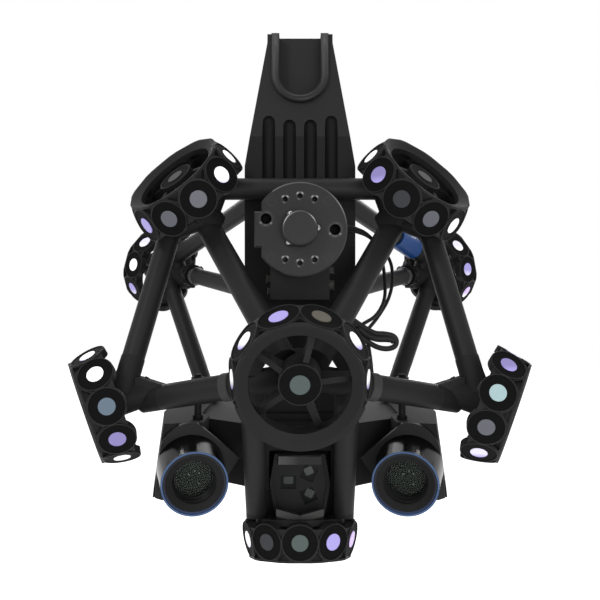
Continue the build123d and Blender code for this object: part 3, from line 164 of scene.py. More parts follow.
class ScannerColours(bpy.types.PropertyGroup):
    """Colours of the scanner's finishes."""
    ring: colour("Ring", "Anodised target rings", (0.0088, 0.0088, 0.0090))
    tube: colour("Tube", "Wrapped carbon tubes", (0.0098, 0.0098, 0.0100))
    plate: colour("Plate", "Turned coupling plate", (0.0160, 0.0160, 0.0160))
    arm: colour("Arm", "Painted arm housing", (0.0140, 0.0140, 0.0143))
    shell: colour("Shell", "Moulded sensor shells", (0.0180, 0.0180, 0.0182))
    light: colour("Light guide", "Blue rings round the lenses", (0.045, 0.098, 0.225))
    sleeve: colour("Sleeve", "Blue sleeve on the rear strut", (0.003, 0.046, 0.190))
    # The reflector colours are painted reflection and shade: the light that the film sends back, the film seen at a
    # slant, and film facing away from the light
    dot_white: colour("Bright reflector", "Film that sends the light back", (1.0, 0.99, 1.0))
    dot_violet: colour("Violet reflector", "Film seen at a slant", (0.32, 0.28, 0.60))
    dot_slate: colour("Slate reflector", "Film that faces away from the light", (0.080, 0.082, 0.096))
    dot_teal: colour("Teal reflector", "Film with a green-grey cast", (0.047, 0.064, 0.060))
    dot_olive: colour("Olive reflector", "Film with a brown-grey cast", (0.074, 0.068, 0.055))
    dot_lilac: colour("Lilac reflector", "Film with a pink cast", (0.61, 0.46, 0.82))


class ScannerSizes(bpy.types.PropertyGroup):
    """Sizes of the pieces that are added to the frame. A facet's sizes are those of the smallest ring."""
    dot_radius: length("Dot radius", "Radius of a facet's reflector", 5.25 * MM)
    hub_dot_radius: length("Hub dot radius", "Radius of a hub's reflector", 5.75 * MM)
    cup_radius: length("Cup radius", "Outer radius of a facet's black cup", 10.95 * MM)
    hub_cup_radius: length("Hub cup radius", "Outer radius of a hub's black cup", 11.6 * MM)
    rim_width: length("Rim width", "Width of a cup's rim", 0.6 * MM)
    rim_height: length("Rim height", "Height of a cup's rim above its facet", 0.5 * MM)
    screw_head: length("Screw head radius", "Radius of a cap screw's head", 2.3 * MM)
    collar_length: length("Collar length", "Length of the pale collars on the side tubes", 6.0 * MM)
    camera_lens: bpy.props.FloatProperty(
        name="Lens", description="Focal length of the camera in millimetres", default=44.98)


def sizes():
    """Sizes as the panel holds them."""
    return bpy.context.scene.scanner_sizes


def colours():
    """Colours as the panel holds them."""
    return bpy.context.scene.scanner_colours


def unit(vector):
    """A vector at length one."""
    vector = np.asarray(vector, float)
    return vector / np.linalg.norm(vector)


def mirrored(point):
    """The same point on the other side of the middle plane."""
    return (-point[0], point[1], point[2])


def pair(point, axis):
    """A place given for the left side, and its mirror image."""
    return [(point, axis), (mirrored(point), mirrored(axis))]


def axis_frame(centre, axis, turn=0.0):
    """Origin and axes of a place: z along the axis, x level and turned about z by the angle in degrees."""
    z = unit(axis)
    level = unit(np.cross((0, 0, 1), z)) if abs(z[2]) < 0.999 else np.array((1.0, 0, 0))
    rise = np.cross(z, level)
    angle = math.radians(turn)
    x = level * math.cos(angle) + rise * math.sin(angle)
    return np.array(centre, float), np.array((x, np.cross(z, x), z))


def frames_at(places):
    """Origins and axes of several (point, axis) or (point, axis, turn) places."""
    made = [axis_frame(*place) for place in places]
    return np.array([origin for origin, _ in made]), np.array([axes for _, axes in made])


def facet_frames(ring):
    """Frames of a ring's ten facets: z is the facet's outward normal, the origin the reflector's centre.

    The origin lies at the ring's radius from its centre, every 36 degrees from the first facet, and the
    normal is the radial direction tilted towards the ring's axis by the cone angle.
    """
    centre, axis, radius, turn = ring
    origin, axes = axis_frame(centre, axis, turn)
    angles = np.arange(FACETS) * 2 * np.pi / FACETS
    radial = np.outer(np.cos(angles), axes[0]) + np.outer(np.sin(angles), axes[1])
    across = np.outer(np.cos(angles), axes[1]) - np.outer(np.sin(angles), axes[0])
    normal = radial * math.cos(CONE) + axes[2] * math.sin(CONE)
    return origin + radial * radius, np.stack((across, np.cross(normal, across), normal), axis=1)


def all_facets():
    """Origins and axes of every facet, with the size of its ring against the smallest."""
    made = [facet_frames(ring) for ring in RINGS.values()]
    scale = np.repeat([ring[2] / SMALLEST_RING for ring in RINGS.values()], FACETS)
    return np.vstack([origins for origins, _ in made]), np.vstack([axes for _, axes in made]), scale


def all_hubs():
    """Origins and axes of the hubs' front faces."""
    origins, axes = frames_at([ring[:2] for ring in RINGS.values()])
    return origins + axes[:, 2] * HUB_FRONT, axes


def lathe(profile, origins, axes, segments=48, scale=1.0, power=2.0, stretch=(1.0, 1.0)):
    """Closed outline of (radius, height) points carried round each frame's z axis.

    A point is origin + height z + radius (u x + v y). On the angle a, which goes round in equal steps,
    u and v are cos a and sin a divided by the root of order power of |cos a|^power + |sin a|^power and
    multiplied by the stretch: a circle for power 2, a rounded square for a higher one. The outline is
    closed from its last point to its first, so that each turned piece is a closed shell, and the scale
    of a frame multiplies its outline.
    """
    profile = np.asarray(profile, float)
    origins = np.atleast_2d(origins)
    axes = np.asarray(axes, float).reshape(-1, 3, 3)
    scale = np.broadcast_to(scale, len(origins))[:, None, None, None]
    angle = (np.arange(segments) + 0.5) * 2 * np.pi / segments
    reach = (np.abs(np.cos(angle)) ** power + np.abs(np.sin(angle)) ** power) ** (-1 / power)
    around = ((np.cos(angle) * reach * stretch[0])[None, :, None] * axes[:, None, 0]
              + (np.sin(angle) * reach * stretch[1])[None, :, None] * axes[:, None, 1])
    points = origins[:, None, None] + scale * (
        profile[None, :, 0, None, None] * around[:, None] + profile[None, :, 1, None, None] * axes[:, None, None, 2])
    count = len(profile)
    row = np.arange(count)[:, None] * segments
    after = (np.arange(count) + 1)[:, None] % count * segments
    step = np.arange(segments)[None]
    forward = (step + 1) % segments
    quads = np.stack((row + step, row + forward, after + forward, after + step), axis=-1).reshape(-1, 4)
    shift = np.arange(len(origins))[:, None, None] * count * segments
    return points.reshape(-1, 3), (quads[None] + shift).reshape(-1, 4)


def swept(line, radius, segments=16):
    """Round bar along a line of points, closed at both ends.

    At each point the circle of the given radius stands square to the local direction, from one fixed
    sideways vector; the end circles are repeated with a radius of nothing, so that the bar is closed.
    """
    line = np.asarray(line, float)
    line = np.vstack((line[:1], line, line[-1:]))
    along = np.gradient(line[1:-1], axis=0)
    along = np.vstack((along[:1], along, along[-1:]))
    along /= np.linalg.norm(along, axis=1, keepdims=True)
    side = np.cross(along, (0.3, 0.2, 0.93))
    side /= np.linalg.norm(side, axis=1, keepdims=True)
    other = np.cross(along, side)
    radii = np.full(len(line), radius)
    radii[[0, -1]] = 0
    angle = np.arange(segments) * 2 * np.pi / segments
    points = line[:, None] + radii[:, None, None] * (
        np.cos(angle)[None, :, None] * side[:, None] + np.sin(angle)[None, :, None] * other[:, None])
    row = np.arange(len(line) - 1)[:, None] * segments
    step = np.arange(segments)[None]
    forward = (step + 1) % segments
    quads = np.stack((row + step, row + forward, row + segments + forward, row + segments + step), axis=-1)
    return points.reshape(-1, 3), quads.reshape(-1, 4)


def spline(points, count=60):
    """Smooth line through points: on each span, the cubic whose ends have half the neighbours' distance."""
    points = np.asarray(points, float)
    padded = np.vstack((2 * points[0] - points[1], points, 2 * points[-1] - points[-2]))
    t = np.linspace(0, len(points) - 1, count)
    span = np.minimum(t.astype(int), len(points) - 2)
    u = (t - span)[:, None]
    a, b, c, d = (padded[span + k] for k in range(4))
    return 0.5 * (2 * b + (c - a) * u + (2 * a - 5 * b + 4 * c - d) * u ** 2 + (3 * b - 3 * c + d - a) * u ** 3)


def lofted(outlines):
    """Closed solid through a row of closed outlines, each an equal number of points.

    Neighbouring outlines are joined point to point, and the first and last are closed towards their centres.
    """
    outlines = np.asarray(outlines, float)
    first = np.repeat(outlines[:1].mean(axis=1, keepdims=True), outlines.shape[1], axis=1)
    last = np.repeat(outlines[-1:].mean(axis=1, keepdims=True), outlines.shape[1], axis=1)
    rows = np.concatenate((first, outlines, last))
    count = rows.shape[1]
    row = np.arange(len(rows) - 1)[:, None] * count
    step = np.arange(count)[None]
    forward = (step + 1) % count
    quads = np.stack((row + step, row + forward, row + count + forward, row + count + step), axis=-1)
    return rows.reshape(-1, 3), quads.reshape(-1, 4)


def across_middle(across, outlines):
    """Loft along X: at each x of the first array stands an outline of (y, z) points, all in millimetres."""
    outlines = np.broadcast_to(outlines, (len(across), *np.shape(outlines)[-2:]))
    levels = np.broadcast_to(across[:, None, None], (*outlines.shape[:2], 1))
    return lofted(np.concatenate((levels, outlines), axis=2) * MM)


def loft_values(values, count):
    """One value for each point of a loft of outlines with count points; its closed ends repeat the end values."""
    return np.repeat(np.concatenate((values[:1], values, values[-1:])), count)


def paint(piece, tints):
    """Colour attribute called tint, one colour or one grey for each point."""
    tints = np.asarray(tints, np.float32)
    if tints.ndim == 1:
        tints = np.column_stack((tints, tints, tints))
    tints = np.column_stack((tints, np.ones(len(tints), np.float32)))
    layer = piece.data.attributes.new("tint", "FLOAT_COLOR", "POINT")
    layer.data.foreach_set("color", tints.ravel())


def gleam_rings(name, outline, places, peaks, tone, bright, material, segments=72):
    """Turned edge rings with a painted highlight: the tint brightens towards given directions, as a chamfer does under
    lamps.

    The tint at the angle a is the tone plus, for each peak (angle, width, share), the share of the
    bright colour times exp(-((a - angle) / width)^2).
    """
    origins, axes = frames_at(places)
    piece = make_mesh(name, lathe(np.array(outline) * MM, origins, axes, segments))
    angle = (np.arange(segments) + 0.5) * 360 / segments
    share = sum(part * np.exp(-((((angle - middle + 180) % 360) - 180) / width) ** 2) for middle, width, part in peaks)
    tints = np.array(tone)[None] + share[:, None] * np.array(bright)[None]
    paint(piece, np.tile(tints, (len(outline) * len(places), 1)))
    return dress(tidy(piece), material)


def joined(parts):
    """Vertices and corners of several surfaces as one."""
    starts = np.cumsum([0] + [len(points) for points, _ in parts[:-1]])
    return (np.concatenate([points for points, _ in parts]),
            np.concatenate([quads + start for (_, quads), start in zip(parts, starts)]))


def make_mesh(name, surface, smooth=False):
    """Mesh object from an array of points and one of the faces' corners."""
    vertices, faces = surface
    vertices = np.asarray(vertices, np.float32)
    faces = np.asarray(faces, np.int32)
    mesh = bpy.data.meshes.new(name)
    mesh.vertices.add(len(vertices))
    mesh.vertices.foreach_set("co", vertices.ravel())
    mesh.loops.add(faces.size)
    mesh.loops.foreach_set("vertex_index", faces.ravel())
    mesh.polygons.add(len(faces))
    mesh.polygons.foreach_set("loop_start", np.arange(0, faces.size, faces.shape[1], dtype=np.int32))
    mesh.polygons.foreach_set("use_smooth", np.full(len(faces), smooth))
    mesh.update(calc_edges=True)
    mesh.validate()
    piece = bpy.data.objects.new(name, mesh)
    bpy.context.scene.collection.objects.link(piece)
    return piece


def tidy(piece):
    """Merge doubled points, drop faces without area and point every face outwards."""
    mesh = bmesh.new()
    mesh.from_mesh(piece.data)
    bmesh.ops.remove_doubles(mesh, verts=mesh.verts, dist=1e-6)
    bmesh.ops.dissolve_degenerate(mesh, edges=mesh.edges, dist=1e-7)
    bmesh.ops.recalc_face_normals(mesh, faces=mesh.faces)
    mesh.to_mesh(piece.data)
    mesh.free()
    return piece


def dress(piece, material):
    """Give a piece its material and the frame as its body."""
    piece.data.materials.clear()
    piece.data.materials.append(material)
    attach(piece, "frame")
    return piece


def add_piece(name, surface, material, smooth=False):
    """Finished piece from the arrays of a surface."""
    return dress(tidy(make_mesh(name, surface, smooth)), material)


def link(tree, source, target):
    """Join two sockets of a node tree."""
    tree.links.new(source, target)


def node_of(tree, kind):
    """The first node of a kind in a node tree."""
    return next(node for node in tree.nodes if node.type == kind)


def new_group(name, entries, exits):
    """Empty node group with named sockets, each entry being (name, kind, default)."""
    group = bpy.data.node_groups.new(name, "ShaderNodeTree")
    for label, kind, default in entries:
        socket = group.interface.new_socket(name=label, in_out="INPUT", socket_type=kind)
        if default is not None:
            socket.default_value = default
    for label, kind in exits:
        group.interface.new_socket(name=label, in_out="OUTPUT", socket_type=kind)
    return group, group.nodes.new("NodeGroupInput"), group.nodes.new("NodeGroupOutput")


def map_range(tree, value, low, high, to_low, to_high):
    """Map Range node over a value; each target end is a number or a socket."""
    node = tree.nodes.new("ShaderNodeMapRange")
    node.inputs["From Min"].default_value = low
    node.inputs["From Max"].default_value = high
    link(tree, value, node.inputs["Value"])
    for label, target in (("To Min", to_low), ("To Max", to_high)):
        if isinstance(target, (int, float)):
            node.inputs[label].default_value = target
        else:
            link(tree, target, node.inputs[label])
    return node.outputs["Result"]


def mix_colours(tree, factor, first, second):
    """Colour mix of two sockets by a factor socket."""
    node = tree.nodes.new("ShaderNodeMix")
    node.data_type = "RGBA"
    link(tree, factor, node.inputs["Factor"])
    link(tree, first, node.inputs["A"])
    link(tree, second, node.inputs["B"])
    return node.outputs["Result"]


def grain_group():
    """Node group: a fine grain and a slow cloud that vary colour, roughness and height.

    Colour moves between the two inputs with the cloud, roughness between its two limits with the grain,
    and the height is the grain itself.
    """
    if "Fine grain" in bpy.data.node_groups:
        return bpy.data.node_groups["Fine grain"]
    group, enter, leave = new_group(
        "Fine grain",
        [("Vector", "NodeSocketVector", None), ("Grain scale", "NodeSocketFloat", 900.0),
         ("Cloud scale", "NodeSocketFloat", 22.0), ("Dark", "NodeSocketColor", None),
         ("Light", "NodeSocketColor", None), ("Roughness low", "NodeSocketFloat", 0.4),
         ("Roughness high", "NodeSocketFloat", 0.6)],
        [("Colour", "NodeSocketColor"), ("Roughness", "NodeSocketFloat"), ("Height", "NodeSocketFloat")])
    grain = group.nodes.new("ShaderNodeTexNoise")
    grain.inputs["Detail"].default_value = 3.0
    cloud = group.nodes.new("ShaderNodeTexNoise")
    cloud.inputs["Detail"].default_value = 4.0
    for node, scale in ((grain, "Grain scale"), (cloud, "Cloud scale")):
        link(group, enter.outputs["Vector"], node.inputs["Vector"])
        link(group, enter.outputs[scale], node.inputs["Scale"])
    link(group, mix_colours(group, cloud.outputs["Fac"], enter.outputs["Dark"], enter.outputs["Light"]),
         leave.inputs["Colour"])
    link(group, map_range(group, grain.outputs["Fac"], 0.3, 0.7, enter.outputs["Roughness low"],
                          enter.outputs["Roughness high"]), leave.inputs["Roughness"])
    link(group, grain.outputs["Fac"], leave.inputs["Height"])
    return group


def edge_group():
    """Node group: paint pale along sharp edges, as wear and as a painted highlight where an edge catches the light.

    The mask is one minus the cosine between the true normal and a normal rounded over the width, broken
    up by noise, and the colour goes from the base to the pale one, worn and lit, with it.
    """
    if "Edge wear" in bpy.data.node_groups:
        return bpy.data.node_groups["Edge wear"]
    group, enter, leave = new_group(
        "Edge wear",
        [("Vector", "NodeSocketVector", None), ("Base", "NodeSocketColor", None), ("Worn and lit", "NodeSocketColor", None),
         ("Width", "NodeSocketFloat", 0.0006)],
        [("Colour", "NodeSocketColor"), ("Mask", "NodeSocketFloat")])
    rounded = group.nodes.new("ShaderNodeBevel")
    rounded.samples = 4
    link(group, enter.outputs["Width"], rounded.inputs["Radius"])
    geometry = group.nodes.new("ShaderNodeNewGeometry")
    agree = group.nodes.new("ShaderNodeVectorMath")
    agree.operation = "DOT_PRODUCT"
    link(group, rounded.outputs["Normal"], agree.inputs[0])
    link(group, geometry.outputs["Normal"], agree.inputs[1])
    patchy = group.nodes.new("ShaderNodeTexNoise")
    patchy.inputs["Scale"].default_value = 160.0
    link(group, enter.outputs["Vector"], patchy.inputs["Vector"])
    edge = map_range(group, agree.outputs["Value"], 0.995, 0.86, 0.0, 1.0)
    break_up = map_range(group, patchy.outputs["Fac"], 0.35, 0.65, 0.35, 1.0)
    both = group.nodes.new("ShaderNodeMath")
    both.operation = "MULTIPLY"
    link(group, edge, both.inputs[0])
    link(group, break_up, both.inputs[1])
    link(group, mix_colours(group, both.outputs[0], enter.outputs["Base"], enter.outputs["Worn and lit"]),
         leave.inputs["Colour"])
    link(group, both.outputs[0], leave.inputs["Mask"])
    return group


def turned_group():
    """Node group: fine tool marks round the Y axis, as a height: a sine of the distance from that axis."""
    if "Turned lines" in bpy.data.node_groups:
        return bpy.data.node_groups["Turned lines"]
    group, enter, leave = new_group(
        "Turned lines", [("Vector", "NodeSocketVector", None), ("Scale", "NodeSocketFloat", 900.0)],
        [("Height", "NodeSocketFloat")])
    wave = group.nodes.new("ShaderNodeTexWave")
    wave.wave_type = "RINGS"
    wave.rings_direction = "Y"
    wave.inputs["Distortion"].default_value = 0.4
    link(group, enter.outputs["Vector"], wave.inputs["Vector"])
    link(group, enter.outputs["Scale"], wave.inputs["Scale"])
    link(group, wave.outputs["Fac"], leave.inputs["Height"])
    return group


def new_material(name):
    """Empty node material with a Principled shader."""
    material = bpy.data.materials.new(name)
    material.use_nodes = True
    tree = material.node_tree
    tree.nodes.clear()
    out = tree.nodes.new("ShaderNodeOutputMaterial")
    shader = tree.nodes.new("ShaderNodeBsdfPrincipled")
    link(tree, shader.outputs["BSDF"], out.inputs["Surface"])
    return material, tree, shader


def relief(tree, shader, height, strength, distance=0.0001):
    """Bump node from a height socket to the shader's normal."""
    bump = tree.nodes.new("ShaderNodeBump")
    bump.inputs["Strength"].default_value = strength
    bump.inputs["Distance"].default_value = distance
    link(tree, height, bump.inputs["Height"])
    link(tree, bump.outputs["Normal"], shader.inputs["Normal"])


def grained(name, tone, rough=(0.45, 0.6), metallic=0.0, specular=0.3, variation=0.18, grain=900.0, bump=0.05,
            wear_and_highlight=0.0, marks=0.0):
    """Finish with a fine grain, and where asked with pale edges, worn and with a painted highlight, or turned tool
    marks.

    Constants sit on the shader's own sockets. The edge factor is how many times paler the pale edges, of wear and
    painted highlight, are, marks the strength of the tool marks, which then replace the grain as the relief.
    """
    material, tree, shader = new_material(name)
    where = tree.nodes.new("ShaderNodeTexCoord")
    effect = tree.nodes.new("ShaderNodeGroup")
    effect.node_tree = grain_group()
    effect.inputs["Grain scale"].default_value = grain
    effect.inputs["Dark"].default_value = (*[c * (1 - variation) for c in tone], 1)
    effect.inputs["Light"].default_value = (*[c * (1 + variation) for c in tone], 1)
    effect.inputs["Roughness low"].default_value = rough[0]
    effect.inputs["Roughness high"].default_value = rough[1]
    link(tree, where.outputs["Object"], effect.inputs["Vector"])
    shade = effect.outputs["Colour"]
    # Pale edges: partly wear, partly a painted highlight along sharp edges
    if wear_and_highlight:
        edges = tree.nodes.new("ShaderNodeGroup")
        edges.node_tree = edge_group()
        edges.inputs["Worn and lit"].default_value = (*[c * wear_and_highlight for c in tone], 1)
        link(tree, where.outputs["Object"], edges.inputs["Vector"])
        link(tree, shade, edges.inputs["Base"])
        shade = edges.outputs["Colour"]
    link(tree, shade, shader.inputs["Base Color"])
    link(tree, effect.outputs["Roughness"], shader.inputs["Roughness"])
    if marks:
        lines = tree.nodes.new("ShaderNodeGroup")
        lines.node_tree = turned_group()
        link(tree, where.outputs["Object"], lines.inputs["Vector"])
        relief(tree, shader, lines.outputs["Height"], marks)
    else:
        relief(tree, shader, effect.outputs["Height"], bump)
    shader.inputs["Metallic"].default_value = metallic
    shader.inputs["Specular IOR Level"].default_value = specular
    return material


def wrapped_tube(name, tone):
    """Carbon tube: grain, and over it the faint diagonal bands of the wrap, as colour and relief."""
    material = grained(name, tone, rough=(0.46, 0.58), specular=0.16, grain=1500.0)
    tree = material.node_tree
    shader = node_of(tree, "BSDF_PRINCIPLED")
    where = node_of(tree, "TEX_COORD")
    wrap = tree.nodes.new("ShaderNodeTexWave")
    wrap.bands_direction = "DIAGONAL"
    wrap.inputs["Scale"].default_value = 190.0
    wrap.inputs["Distortion"].default_value = 1.2
    wrap.inputs["Detail"].default_value = 1.0
    link(tree, where.outputs["Object"], wrap.inputs["Vector"])
    relief(tree, shader, wrap.outputs["Fac"], 0.05)
    return material


def reflector_material():
    """Glass-bead film: the tint, painted reflection and shade, comes from the piece's colour attribute, with a fine
    bead grain.

    The same tint is given off faintly as a painted glow, standing in for the light that the film sends back towards the
    viewer.
    """
    material, tree, shader = new_material("reflector film")
    tint = tree.nodes.new("ShaderNodeAttribute")
    tint.attribute_name = "tint"
    where = tree.nodes.new("ShaderNodeTexCoord")
    beads = tree.nodes.new("ShaderNodeTexVoronoi")
    beads.inputs["Scale"].default_value = 4200.0
    link(tree, where.outputs["Object"], beads.inputs["Vector"])
    relief(tree, shader, beads.outputs["Distance"], 0.12, 0.00005)
    link(tree, tint.outputs["Color"], shader.inputs["Base Color"])
    # Painted glow: the film gives off its tint as light
    link(tree, tint.outputs["Color"], shader.inputs["Emission Color"])
    shader.inputs["Emission Strength"].default_value = 0.22
    shader.inputs["Roughness"].default_value = 0.4
    shader.inputs["Specular IOR Level"].default_value = 0.2
    return material


def tinted(name, rough=(0.3, 0.42), specular=0.2):
    """Finish whose colour comes from the piece's own attribute, with the shared fine grain in its roughness."""
    material = grained(name, (0.02, 0.02, 0.02), rough=rough, specular=specular)
    tree = material.node_tree
    shader = node_of(tree, "BSDF_PRINCIPLED")
    tint = tree.nodes.new("ShaderNodeAttribute")
    tint.attribute_name = "tint"
    link(tree, tint.outputs["Color"], shader.inputs["Base Color"])
    return material


def glass_material(name, tint, cover):
    """Anti-reflection coated front glass: a thin tinted film over what lies behind, with a faint smear."""
    material, tree, shader = new_material(name)
    where = tree.nodes.new("ShaderNodeTexCoord")
    smear = tree.nodes.new("ShaderNodeTexNoise")
    smear.inputs["Scale"].default_value = 60.0
    link(tree, where.outputs["Object"], smear.inputs["Vector"])
    link(tree, map_range(tree, smear.outputs["Fac"], 0.3, 0.7, 0.05, 0.10), shader.inputs["Roughness"])
    link(tree, map_range(tree, smear.outputs["Fac"], 0.2, 0.8, cover - 0.05, cover + 0.05), shader.inputs["Alpha"])
    shader.inputs["Base Color"].default_value = (*tint, 1)
    shader.inputs["Specular IOR Level"].default_value = 0.12
    return material


def shade_below(material, level, share):
    """Paint shade on a finish below a height: its colour is scaled by the share there, over a 1 mm crease."""
    tree = material.node_tree
    shader = node_of(tree, "BSDF_PRINCIPLED")
    where = node_of(tree, "TEX_COORD")
    axes = tree.nodes.new("ShaderNodeSeparateXYZ")
    link(tree, where.outputs["Object"], axes.inputs["Vector"])
    scaled = tree.nodes.new("ShaderNodeVectorMath")
    scaled.operation = "SCALE"
    link(tree, shader.inputs["Base Color"].links[0].from_socket, scaled.inputs[0])
    link(tree, map_range(tree, axes.outputs["Z"], level - 0.0005, level + 0.0005, share, 1.0), scaled.inputs["Scale"])
    link(tree, scaled.outputs["Vector"], shader.inputs["Base Color"])
    return material


def seen_background(tree, lighting, picture):
    """Strength of a background: one value for the light on the object, another for what the picture shows.

    The picture's rays are the camera's, and those that meet the background in a gloss or through glass.
    """
    path = tree.nodes.new("ShaderNodeLightPath")
    ray = path.outputs["Is Camera Ray"]
    for label in ("Is Transmission Ray", "Is Glossy Ray"):
        either = tree.nodes.new("ShaderNodeMath")
        either.operation = "MAXIMUM"
        link(tree, ray, either.inputs[0])
        link(tree, path.outputs[label], either.inputs[1])
        ray = either.outputs[0]
    return map_range(tree, ray, 0.0, 1.0, lighting, picture)


def finish_materials():
    """One material for each finish in FINISHES."""
    c = colours()
    made = {name: grained(name, tone, **recipe) for name, tone, recipe in (
        ("ring satin", c.ring, dict(rough=(0.5, 0.62), specular=0.12, wear_and_highlight=1.8)),
        ("node satin", c.ring, dict(rough=(0.55, 0.68), specular=0.12, wear_and_highlight=1.5)),
        ("turned plate", c.plate, dict(rough=(0.34, 0.46), specular=0.12, marks=0.05, wear_and_highlight=2.4)),
        ("lock steel", c.plate, dict(rough=(0.34, 0.46), specular=0.13, marks=0.04, wear_and_highlight=2.4)),
        ("ball steel", (0.28, 0.28, 0.28), dict(rough=(0.2, 0.3), metallic=1.0, variation=0.1)),
        ("arm paint", c.arm, dict(rough=(0.55, 0.68), specular=0.12, grain=1200.0, wear_and_highlight=1.8)),
        ("adapter paint", [v * 0.45 for v in c.arm], dict(rough=(0.5, 0.6), specular=0.1, wear_and_highlight=1.8)),
        ("shell moulding", c.shell, dict(rough=(0.55, 0.66), specular=0.05, grain=1400.0, wear_and_highlight=1.3)),
        ("head anodised", c.ring, dict(rough=(0.5, 0.6), specular=0.1, wear_and_highlight=1.3)),
        # Painted light: the face plates take the head anodising's colour 2.2 times lighter, for the light that reaches
        # them
        ("face anodised with painted light", [v * 2.2 for v in c.ring], dict(rough=(0.5, 0.6), specular=0.1, wear_and_highlight=1.3)),
        ("barrel gloss", [v * 0.5 for v in c.ring], dict(rough=(0.15, 0.18), specular=0.035)),
        ("light guide", c.light, dict(rough=(0.25, 0.35), specular=0.3, variation=0.12)),
        ("window filter", (0.002, 0.002, 0.0025), dict(rough=(0.3, 0.4), specular=0.06)),
        ("lens core", (0.008, 0.011, 0.009), dict(rough=(0.2, 0.3), specular=0.15)),
        ("blue sleeve", c.sleeve, dict(rough=(0.4, 0.55), specular=0.3, grain=500.0, bump=0.15, variation=0.35)),
        ("cable jacket", (0.009, 0.009, 0.0095), dict(rough=(0.45, 0.6), specular=0.15)),
    )}
    # Painted shade: the arm is darker below the crease where its front starts to lean back, on its sides as well
    shade_below(made["arm paint"], LEAN_START * MM, 0.45)
    made["tube wrap"] = wrapped_tube("tube wrap", c.tube)
    made["front glass"] = glass_material("front glass", (0.022, 0.028, 0.024), 0.34)
    return made


class SCANNER_OT_finishes(bpy.types.Operator):
    """Give every carried-over node its finish."""
    bl_idname = "scanner.finishes"
    bl_label = "Finish the frame's nodes"

    def execute(self, context):
        made = finish_materials()
        for finish, nodes in FINISHES.items():
            for node in nodes:
                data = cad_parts[node].data
                data.materials.clear()
                data.materials.append(made[finish])
        return {"FINISHED"}


class SCANNER_OT_reflectors(bpy.types.Operator):
    """Make the reflectors, with a black cup and a rim round each one."""
    bl_idname = "scanner.reflectors"
    bl_label = "Reflectors and cups"

    def execute(self, context):
        s = sizes()
        c = colours()
        facets, facet_axes, scale = all_facets()
        hubs, hub_axes = all_hubs()
        thick = 0.6 * MM
        edge = 0.25 * MM
        lift = 0.06 * MM
        bevel = 0.18 * MM

        def disc(radius):
            """Outline of a reflector, a thin plate with a bevelled edge."""
            return [(0, 0), (radius, 0), (radius, 0.7 * thick), (radius - edge, thick), (0.75 * radius, thick),
                    (0.5 * radius, thick), (0.25 * radius, thick), (0, thick)]

        def dish(inner, outer):
            """Outline of a cup's floor, a flat ring that stands just proud of its facet."""
            return [(inner, -lift), (outer, -lift), (outer, lift), (inner, lift)]

        def rim(inner, width, height):
            """Outline of a cup's rim, bevelled on both sides."""
            outer = inner + width
            return [(inner, -lift), (outer, -lift), (outer, height - bevel), (outer - bevel, height),
                    (inner + bevel, height), (inner, height - bevel)]

        def turned(on_facets, on_hubs, segments):
            """One outline turned on every facet, in its ring's scale, and one on every hub."""
            return joined([lathe(on_facets, facets, facet_axes, segments, scale),
                           lathe(on_hubs, hubs, hub_axes, segments)])

        surface = turned(disc(s.dot_radius), disc(s.hub_dot_radius), 40)
        dots = make_mesh("reflector_dots", surface)

        # Each dot fades from the tint of its first letter to that of its second over its lower part, a painted
        # change of its reflection; the letters stand in the order of the dots, all facets and then all hubs.
        # The tints are painted reflection and shade; violet grey and dark slate are shaded copies of violet and slate
        palette = {"w": c.dot_white, "v": c.dot_violet, "s": c.dot_slate, "t": c.dot_teal, "o": c.dot_olive,
                   "l": c.dot_lilac, "p": [0.5 * (a + b) for a, b in zip(c.dot_white, c.dot_violet)],
                   "g": [0.6 * v for v in c.dot_violet], "d": [0.25 * v for v in c.dot_slate],
                   "c": [0.26, 0.36, 0.37], "b": [0.012, 0.012, 0.011], "u": [0.085, 0.115, 0.150]}
        words = ["".join(tints[part][:FACETS] for tints in TINTS.values())
                 + "".join(tints[part][FACETS] for tints in TINTS.values()) for part in (0, 1)]
        upper, lower = (np.array([palette[letter] for letter in word])[:, None] for word in words)
        points = surface[0].reshape(len(upper), -1, 3)
        fall = points.mean(axis=1, keepdims=True)[..., 2] - points[..., 2]
        fall = 0.5 + 0.5 * fall / np.abs(fall).max(axis=1, keepdims=True)
        weight = np.clip((fall - 0.55) / 0.4, 0, 1)[..., None]
        paint(dots, (upper * (1 - weight) + lower * weight).reshape(-1, 3))
        dress(tidy(dots), reflector_material())
        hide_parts("reflectors")

        cup_black = grained("cup black", (0.0035, 0.0035, 0.0038), rough=(0.6, 0.75), specular=0.04)
        cups = turned(dish(s.dot_radius - edge, s.cup_radius), dish(s.hub_dot_radius - edge, s.hub_cup_radius), 48)
        add_piece("reflector_cups", cups, cup_black)
        rim_satin = grained("rim satin", [v * 1.35 for v in c.ring], rough=(0.45, 0.55), specular=0.15)
        rims = turned(rim(s.cup_radius, s.rim_width, s.rim_height), rim(s.hub_cup_radius, 0.65 * MM, 0.4 * MM), 48)
        add_piece("reflector_rims", rims, rim_satin)
        return {"FINISHED"}


